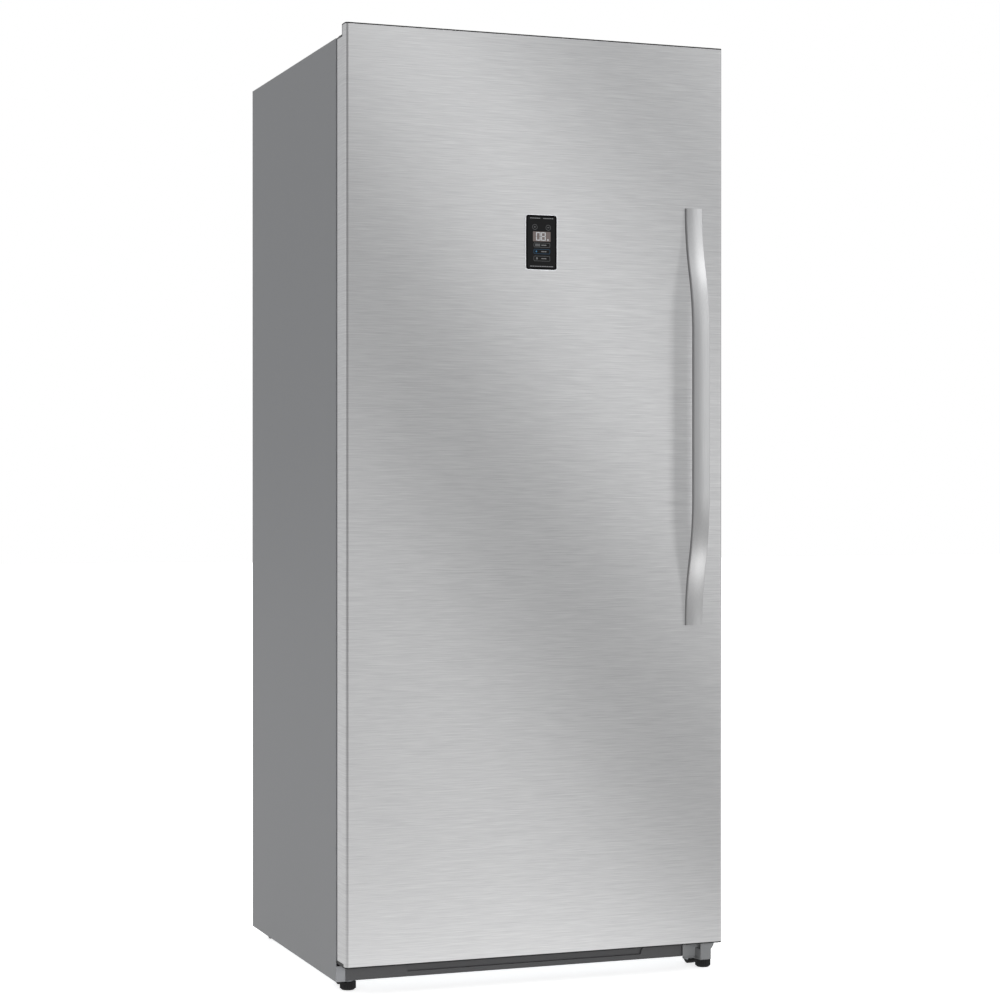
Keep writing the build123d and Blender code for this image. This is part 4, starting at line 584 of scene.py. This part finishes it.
gloss = add_node(tree, "ShaderNodeMapRange", {"Value": grain, "To Min": 0.45, "To Max": 0.39})
set_inputs(tree, shader, {"Base Color": tone, "Roughness": gloss, "Metallic": 1.0, "Normal": fold})
dress(wrap_steel, "door_skin")

# ==== End caps and hinge cover ====
# Injection moulded in black ABS, pushed into the wrap's open ends and held by the foam.  The spark
# eroded tool leaves a fine even matt grain.
cap_abs, tree, shader, place = start_material("black_moulded_abs")
rounding = add_node(tree, "ShaderNodeBevel", {"Radius": 0.0008})
spark = add_node(tree, "ShaderNodeTexNoise", {"Vector": place, "Scale": per_mm(0.6), "Detail": 3.0})
bump = add_node(
    tree, "ShaderNodeBump", {"Height": spark, "Strength": 0.35, "Distance": 0.0002, "Normal": rounding}
)
tone = add_node(tree, "ShaderNodeMix", {"Factor": spark, **tones("#171718", "#202021")}, data_type="RGBA")
matt = {"Roughness": 0.55, "Specular IOR Level": 0.3, "IOR": 1.54}
set_inputs(tree, shader, {"Base Color": tone, "Normal": bump, **matt})
dress(cap_abs, "door_top_cap", "door_bottom_cap", "hinge_cover")

# ==== Hinge bushings ====
# Flanged sleeves of natural nylon, set in the door's end caps, where the hinge pins turn in them.  The
# plastic is slightly yellow and half matt.
nylon, tree, shader, place = start_material("natural_nylon")
clouds = add_node(tree, "ShaderNodeTexNoise", {"Vector": place, "Scale": per_mm(3.0), "Detail": 3.0})
tone = add_node(tree, "ShaderNodeMix", {"Factor": clouds, **tones("#D8D3C2", "#E4E1D5")}, data_type="RGBA")
set_inputs(tree, shader, {"Base Color": tone, "Roughness": 0.45, "IOR": 1.53})
dress(nylon, "hinge_bushings")

# ==== Gasket ====
# A magnetic seal extruded in soft grey vinyl: a foot that is pushed into the liner's groove, a folding
# neck, and a bulb with the magnet strip.  Four lengths are welded at mitred corners.  The vinyl is matt,
# with a faint bloom.
gasket_vinyl, tree, shader, place = start_material("grey_soft_vinyl")
bloom = add_node(tree, "ShaderNodeTexNoise", {"Vector": place, "Scale": per_mm(2.5), "Detail": 3.0})
bump = add_node(tree, "ShaderNodeBump", {"Height": bloom, "Strength": 0.2, "Distance": 0.0002})
tone = add_node(tree, "ShaderNodeMix", {"Factor": bloom, **tones("#454648", "#515254")}, data_type="RGBA")
set_inputs(tree, shader, {"Base Color": tone, "Roughness": 0.55, "IOR": 1.53, "Normal": bump})


def arc(middle, radius, start, end, steps=4):
    """Points along an arc, its angles in degrees."""
    angles = [math.radians(start + (end - start) * n / steps) for n in range(steps + 1)]
    return [(middle[0] + radius * math.cos(a), middle[1] + radius * math.sin(a)) for a in angles]


# Half of its section, in millimetres: in from its outer edge, and out from the door.
gasket_low, gasket_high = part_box("door_gasket")
gasket_wide, gasket_deep = 18.0, 1000 * (gasket_high[1] - gasket_low[1])
foot_deep, foot_round = 2.5, 0.8
neck_inset, neck_fold = 5.2, 0.7
bulb_inset, bulb_start, bulb_round = 1.5, 3.7, 1.2
neck_middle = (foot_deep + bulb_start) / 2
bulb_side = bulb_inset + bulb_round
half_profile = [(0.0, 0.0)]
half_profile += arc((foot_round, foot_deep - foot_round), foot_round, 180, 90)
half_profile += [(neck_inset, foot_deep), (neck_inset - neck_fold, neck_middle), (neck_inset, bulb_start)]
half_profile += arc((bulb_side, bulb_start + bulb_round), bulb_round, 270, 180)
half_profile += arc((bulb_side, gasket_deep - bulb_round), bulb_round, 180, 90)
profile = half_profile + [(gasket_wide - u, v) for u, v in reversed(half_profile)]

# The section stands at each of the four corners, and is joined from corner to corner.
corners = [
    (gasket_low[0], 1, gasket_low[2], 1),
    (gasket_high[0], -1, gasket_low[2], 1),
    (gasket_high[0], -1, gasket_high[2], -1),
    (gasket_low[0], 1, gasket_high[2], -1),
]
gasket_points = []
for x, x_way, z, z_way in corners:
    for inset, out in [mm(u, v) for u, v in profile]:
        gasket_points.append((x + x_way * inset, gasket_low[1] + out, z + z_way * inset))
count = len(profile)
gasket_faces = []
for here in range(len(corners)):
    start, end = here * count, (here + 1) % len(corners) * count
    for n in range(count):
        beside = (n + 1) % count
        gasket_faces.append((start + n, start + beside, end + beside, end + n))
gasket = mesh_piece("gasket_bellows", gasket_points, gasket_faces, gasket_vinyl, "door")
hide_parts("door_gasket")

# ==== Handle ====
# A solid stainless strap, bowed, ground along its length and screwed on from behind the wrap.  The
# lengthwise grain draws its highlights out across the bow.
handle_steel, tree, shader, place = start_material("lengthwise_brushed_steel")
along = add_node(
    tree, "ShaderNodeMapping", {"Vector": place, "Scale": (per_mm(0.8), per_mm(0.8), per_mm(70))}
)
strap_grain = add_node(tree, "ShaderNodeTexNoise", {"Vector": along, "Scale": 1.0, "Detail": 4.0})
tone = add_node(
    tree, "ShaderNodeMix", {"Factor": strap_grain, **tones("#B9B9BA", "#D1D1D1")}, data_type="RGBA"
)
gloss = add_node(tree, "ShaderNodeMapRange", {"Value": strap_grain, "To Min": 0.36, "To Max": 0.28})
set_inputs(tree, shader, {"Base Color": tone, "Roughness": gloss, "Metallic": 1.0})
dress(handle_steel, "door_handle")

# The wrap's grain blurs the handle's mirror image away, so it is left out.
solids["door_handle"].visible_glossy = False

# ==== Control panel ====
# A half-gloss black ABS frame holds a smooth, deep black acrylic window, with a satin silver-painted bead
# round it, whose light silver is also a painted highlight along the panel's edge; behind the window is a
# touch board with green solder mask over its copper tracks.
frame_abs, tree, shader, place = start_material("black_semigloss_abs")
grit = add_node(tree, "ShaderNodeTexNoise", {"Vector": place, "Scale": per_mm(0.7), "Detail": 3.0})
tone = add_node(tree, "ShaderNodeMix", {"Factor": grit, **tones("#050506", "#0A0A0B")}, data_type="RGBA")
set_inputs(tree, shader, {"Base Color": tone, "Roughness": 0.35, "Specular IOR Level": 0.15, "IOR": 1.54})
dress(frame_abs, "control_bezel")
# The bead's light silver is partly its paint and partly a painted highlight along the panel's edge.
bead_silver_and_highlight, tree, shader, place = start_material("silver_bead_paint_and_edge_highlight")
mica = add_node(tree, "ShaderNodeTexNoise", {"Vector": place, "Scale": per_mm(0.4), "Detail": 3.0})
tone = add_node(tree, "ShaderNodeMix", {"Factor": mica, **tones("#9E9FA1", "#AEAFB1")}, data_type="RGBA")
set_inputs(tree, shader, {"Base Color": tone, "Roughness": 0.4, "IOR": 1.5})
acrylic, tree, shader, place = start_material("black_acrylic")
haze = add_node(tree, "ShaderNodeTexNoise", {"Vector": place, "Scale": per_mm(14.0), "Detail": 3.0})
tone = add_node(tree, "ShaderNodeMix", {"Factor": haze, **tones("#030304", "#060607")}, data_type="RGBA")
gloss = add_node(tree, "ShaderNodeMapRange", {"Value": haze, "To Min": 0.04, "To Max": 0.1})
set_inputs(tree, shader, {"Base Color": tone, "Roughness": gloss, "Specular IOR Level": 0.1, "IOR": 1.49})
dress(acrylic, "control_fascia")
solder_mask, tree, shader, place = start_material("green_solder_mask")
tracks = add_node(tree, "ShaderNodeTexBrick", {"Vector": place, "Scale": per_mm(6.0)})
copper_lines = tracks.outputs["Fac"]
tone = add_node(
    tree, "ShaderNodeMix", {"Factor": copper_lines, **tones("#1B5233", "#2A7248")}, data_type="RGBA"
)
set_inputs(tree, shader, {"Base Color": tone, "Roughness": 0.35})
dress(solder_mask, "display_board")


def rounded_loop(left, top, right, bottom, radius):
    """Closed outline of a rounded rectangle, in millimetres from the panel's upper left corner."""
    middles = ((left + radius, top + radius), (right - radius, top + radius))
    middles += ((right - radius, bottom - radius), (left + radius, bottom - radius))
    loop = []
    for n, middle in enumerate(middles):
        loop += arc(middle, radius, 180 + 90 * n, 270 + 90 * n)
    return loop


panel_low, panel_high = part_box("control_bezel")


def panel_curve(name, loops, material, front, thick, bevel=0.0):
    """New flat piece on the panel: filled outlines, with holes where one lies in another."""
    curve = bpy.data.curves.new(name, "CURVE")
    curve.dimensions = "2D"
    curve.fill_mode = "BOTH"
    curve.extrude = thick / 2 - bevel
    curve.bevel_depth = bevel
    for loop in loops:
        spline = curve.splines.new("POLY")
        spline.points.add(len(loop) - 1)
        spline.use_cyclic_u = True
        for point, (x, y) in zip(spline.points, loop):
            point.co = (*mm(x, -y), 0, 1)
    curve.materials.append(material)
    piece = bpy.data.objects.new(name, curve)
    piece.location = (panel_low[0], front + thick / 2, panel_high[2])
    piece.rotation_euler = (math.radians(90), 0, 0)
    bpy.context.collection.objects.link(piece)
    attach(piece, "door")
    return piece


# The bead is snapped on round the frame and stands on the door's face.
panel_wide = 1000 * (panel_high[0] - panel_low[0])
panel_tall = 1000 * (panel_high[2] - panel_low[2])
frame_round, bead_gap, bead_wide = 5.0, 0.1, 1.7
bead_thick, bead_bevel = mm(0.9, 0.35)
out = bead_gap + 1000 * bead_bevel
inner = rounded_loop(-out, -out, panel_wide + out, panel_tall + out, frame_round + out)
out = bead_wide - 1000 * bead_bevel
outer = rounded_loop(-out, -out, panel_wide + out, panel_tall + out, frame_round + out)
bead_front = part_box("door_skin")[0][1] - bead_thick
bead = panel_curve(
    "panel_bead", [outer, inner], bead_silver_and_highlight, bead_front, bead_thick, bead_bevel
)
fronts_lit.objects.link(bead)

# The window's face is printed, in films of one thickness.
fascia_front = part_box("control_fascia")[0][1]
film_thick = 0.0001


def print_on_panel(name, loops, ink, layer):
    """Marks printed on the fascia; a mark in a higher layer lies on the lower ones."""
    panel_curve(name, loops, ink, fascia_front - layer * film_thick, film_thick)


def printing_ink(name, low, high, glow=0.0):
    """Matt screen printing ink, a little uneven where the screen lifted; it may be lit from behind."""
    ink, tree, shader, place = start_material(name)
    lifted = add_node(tree, "ShaderNodeTexNoise", {"Vector": place, "Scale": per_mm(0.8), "Detail": 3.0})
    tone = add_node(tree, "ShaderNodeMix", {"Factor": lifted, **tones(low, high)}, data_type="RGBA")
    shine = {"Emission Color": tone, "Emission Strength": glow}
    set_inputs(tree, shader, {"Base Color": tone, "Roughness": 0.5, "Specular IOR Level": 0.2, **shine})
    return ink


# The window's middle is backed with dark grey ink and printed with generic marks: rows of plain dashes,
# rings, dots and bars.  Lamps behind the window light them softly.  Their places are in millimetres from
# the panel's upper left corner.
backing_ink = printing_ink("dark_grey_printing_ink", "#101011", "#151516")
dim_ink = printing_ink("dim_grey_printing_ink", "#424344", "#4A4B4C", 0.6)
grey_ink = printing_ink("grey_printing_ink", "#626364", "#6E6F70", 0.7)
blue_ink = printing_ink("blue_printing_ink", "#243C50", "#2A465C", 0.25)
blue_light = printing_ink("lit_blue_diode", "#2B587A", "#336689", 0.3)
display_film = printing_ink("smoked_display_film", "#544D4B", "#5C5452", 0.55)
digit_light = printing_ink("lit_digit_white", "#A6A8AA", "#B3B5B7", 0.3)
backing_layer, print_layer, digit_layer = 1, 2, 3
print_on_panel("fascia_backing", [rounded_loop(3.4, 3.4, 63.6, 107.6, 2.0)], backing_ink, backing_layer)
dash_gap, dash_half, dash_round = 0.8, 0.7, 0.2
for name, left, right, y, dash in (
    ("small_print_left", 8.7, 30.6, 6.3, 3.4),
    ("small_print_right", 37.4, 59.2, 6.3, 2.6),
    ("small_print_foot", 8.7, 59.0, 104.5, 4.1),
):
    dash_count = round((right - left) / (dash + dash_gap))
    pitch = (right - left + dash_gap) / dash_count
    loops = []
    for n in range(dash_count):
        start = left + n * pitch
        loops.append(rounded_loop(start, y - dash_half, start + pitch - dash_gap, y + dash_half, dash_round))
    print_on_panel(name, loops, grey_ink, print_layer)


def circle(x, y, radius, steps=18):
    """Closed outline of a circle; its last side joins 345 and 360 degrees."""
    return arc((x, y), radius, 0, 345, steps)


# Two round touch symbols: a ring with a dot, and a ring with a bar.
ring_radius, ring_line, ring_steps = 5.6, 0.8, 36
dot_radius = 1.6
bar_reach, bar_half, bar_round = 2.4, 0.8, 0.3
for name, x, y in (("dot_symbol", 19.1, 24.4), ("bar_symbol", 48.5, 25.0)):
    loops = [circle(x, y, ring_radius, ring_steps), circle(x, y, ring_radius - ring_line, ring_steps)]
    if name == "dot_symbol":
        loops.append(circle(x, y, dot_radius))
    else:
        loops.append(rounded_loop(x - bar_reach, y - bar_half, x + bar_reach, y + bar_half, bar_round))
    print_on_panel(name, loops, dim_ink, print_layer)

# The display: two seven-bar digits and a small square dot.
print_on_panel("display_window", [rounded_loop(14.9, 33.6, 53.4, 53.7, 0.8)], display_film, print_layer)
digit_wide, digit_high, digit_top = 9.5, 17.0, 34.9
stroke, slit, stroke_round = 1.6, 0.35, 0.6
bottom = digit_top + digit_high
middle = digit_top + digit_high / 2
for name, left, lit_bars in (("digit_zero", 21.8, "abcdef"), ("digit_eight", 33.0, "abcdefg")):
    right = left + digit_wide
    level_start, level_end = left + stroke + slit, right - stroke - slit
    bars = {
        "a": (level_start, digit_top, level_end, digit_top + stroke),
        "g": (level_start, middle - stroke / 2, level_end, middle + stroke / 2),
        "d": (level_start, bottom - stroke, level_end, bottom),
        "f": (left, digit_top, left + stroke, middle - slit),
        "b": (right - stroke, digit_top, right, middle - slit),
        "e": (left, middle + slit, left + stroke, bottom),
        "c": (right - stroke, middle + slit, right, bottom),
    }
    loops = [rounded_loop(*bars[letter], stroke_round) for letter in lit_bars]
    print_on_panel(name, loops, digit_light, digit_layer)
print_on_panel("display_dot", [rounded_loop(46.2, 48.7, 49.0, 51.5, 0.6)], digit_light, digit_layer)

# Three touch keys: an outline each, with a mark and a row of plain dashes inside.
key_left, key_right, key_line = 16.5, 52.4, 0.8
key_round, key_round_inside = 2.6, 1.8
dash_wide, dash_half, dash_round = 3.0, 0.8, 0.3
dash_starts = (33.5, 37.3, 41.1)
for name, top, bottom, ink in (
    ("key_upper", 56.4, 65.8, dim_ink),
    ("key_middle", 69.4, 79.2, blue_ink),
    ("key_lower", 83.3, 94.0, dim_ink),
):
    outer = rounded_loop(key_left, top, key_right, bottom, key_round)
    sides = (key_left + key_line, top + key_line, key_right - key_line, bottom - key_line)
    inner = rounded_loop(*sides, key_round_inside)
    print_on_panel(f"{name}_outline", [outer, inner], ink, print_layer)
    middle = (top + bottom) / 2
    loops = []
    for left in dash_starts:
        loops.append(rounded_loop(left, middle - dash_half, left + dash_wide, middle + dash_half, dash_round))
    print_on_panel(f"{name}_small_print", loops, grey_ink, print_layer)
print_on_panel("key_upper_mark", [rounded_loop(19.6, 58.6, 30.8, 63.6, 0.8)], dim_ink, print_layer)
print_on_panel("key_middle_mark", [circle(22.4, 74.3, 1.7)], blue_light, print_layer)
print_on_panel("key_lower_mark", [circle(23.6, 88.6, 1.9), circle(23.6, 88.6, 1.0)], grey_ink, print_layer)

# ==== Levelling feet ====
# Knurled discs moulded in black glass-filled nylon round threaded steel studs, to be turned by hand.  The
# glass fibres make the skin dull.
foot_nylon, tree, shader, place = start_material("black_glass_filled_nylon")
fibres = add_node(tree, "ShaderNodeTexNoise", {"Vector": place, "Scale": per_mm(0.5), "Detail": 3.0})
bump = add_node(tree, "ShaderNodeBump", {"Height": fibres, "Strength": 0.4, "Distance": 0.0002})
tone = add_node(tree, "ShaderNodeMix", {"Factor": fibres, **tones("#060607", "#0D0D0E")}, data_type="RGBA")
dull = {"Roughness": 0.6, "Specular IOR Level": 0.25, "IOR": 1.53}
set_inputs(tree, shader, {"Base Color": tone, "Normal": bump, **dull})
dress(foot_nylon, "levelling_foot_left", "levelling_foot_right")

# ==== Rollers ====
# Turned and bored from bars of black acetal, a waxy plastic, and set on steel axles.  The lathe's rings on
# their treads are drawn 7.5 mm apart, far coarser than they are, so that they show.
acetal, tree, shader, place = start_material("black_acetal")
ring_pitch = 7.54
radians_per_unit = 20.0  # of the wave texture, before its scale
wave_scale = per_mm(ring_pitch) * 2 * math.pi / radians_per_unit
rings = add_node(tree, "ShaderNodeTexWave", {"Vector": place, "Scale": wave_scale}, bands_direction="X")
bump = add_node(tree, "ShaderNodeBump", {"Height": rings, "Strength": 0.2, "Distance": 0.0001})
tone = add_node(tree, "ShaderNodeMix", {"Factor": rings, **tones("#060606", "#0C0C0C")}, data_type="RGBA")
worn = {"Roughness": 0.65, "Specular IOR Level": 0.2, "IOR": 1.48}
set_inputs(tree, shader, {"Base Color": tone, "Normal": bump, **worn})
rollers = [name for name in solids if "_roller_" in name]
dress(acetal, *rollers)

sizes = {"cad": solids_bounds, "visual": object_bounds()}
sizes = {name: [list(corner) for corner in corners] for name, corners in sizes.items()}
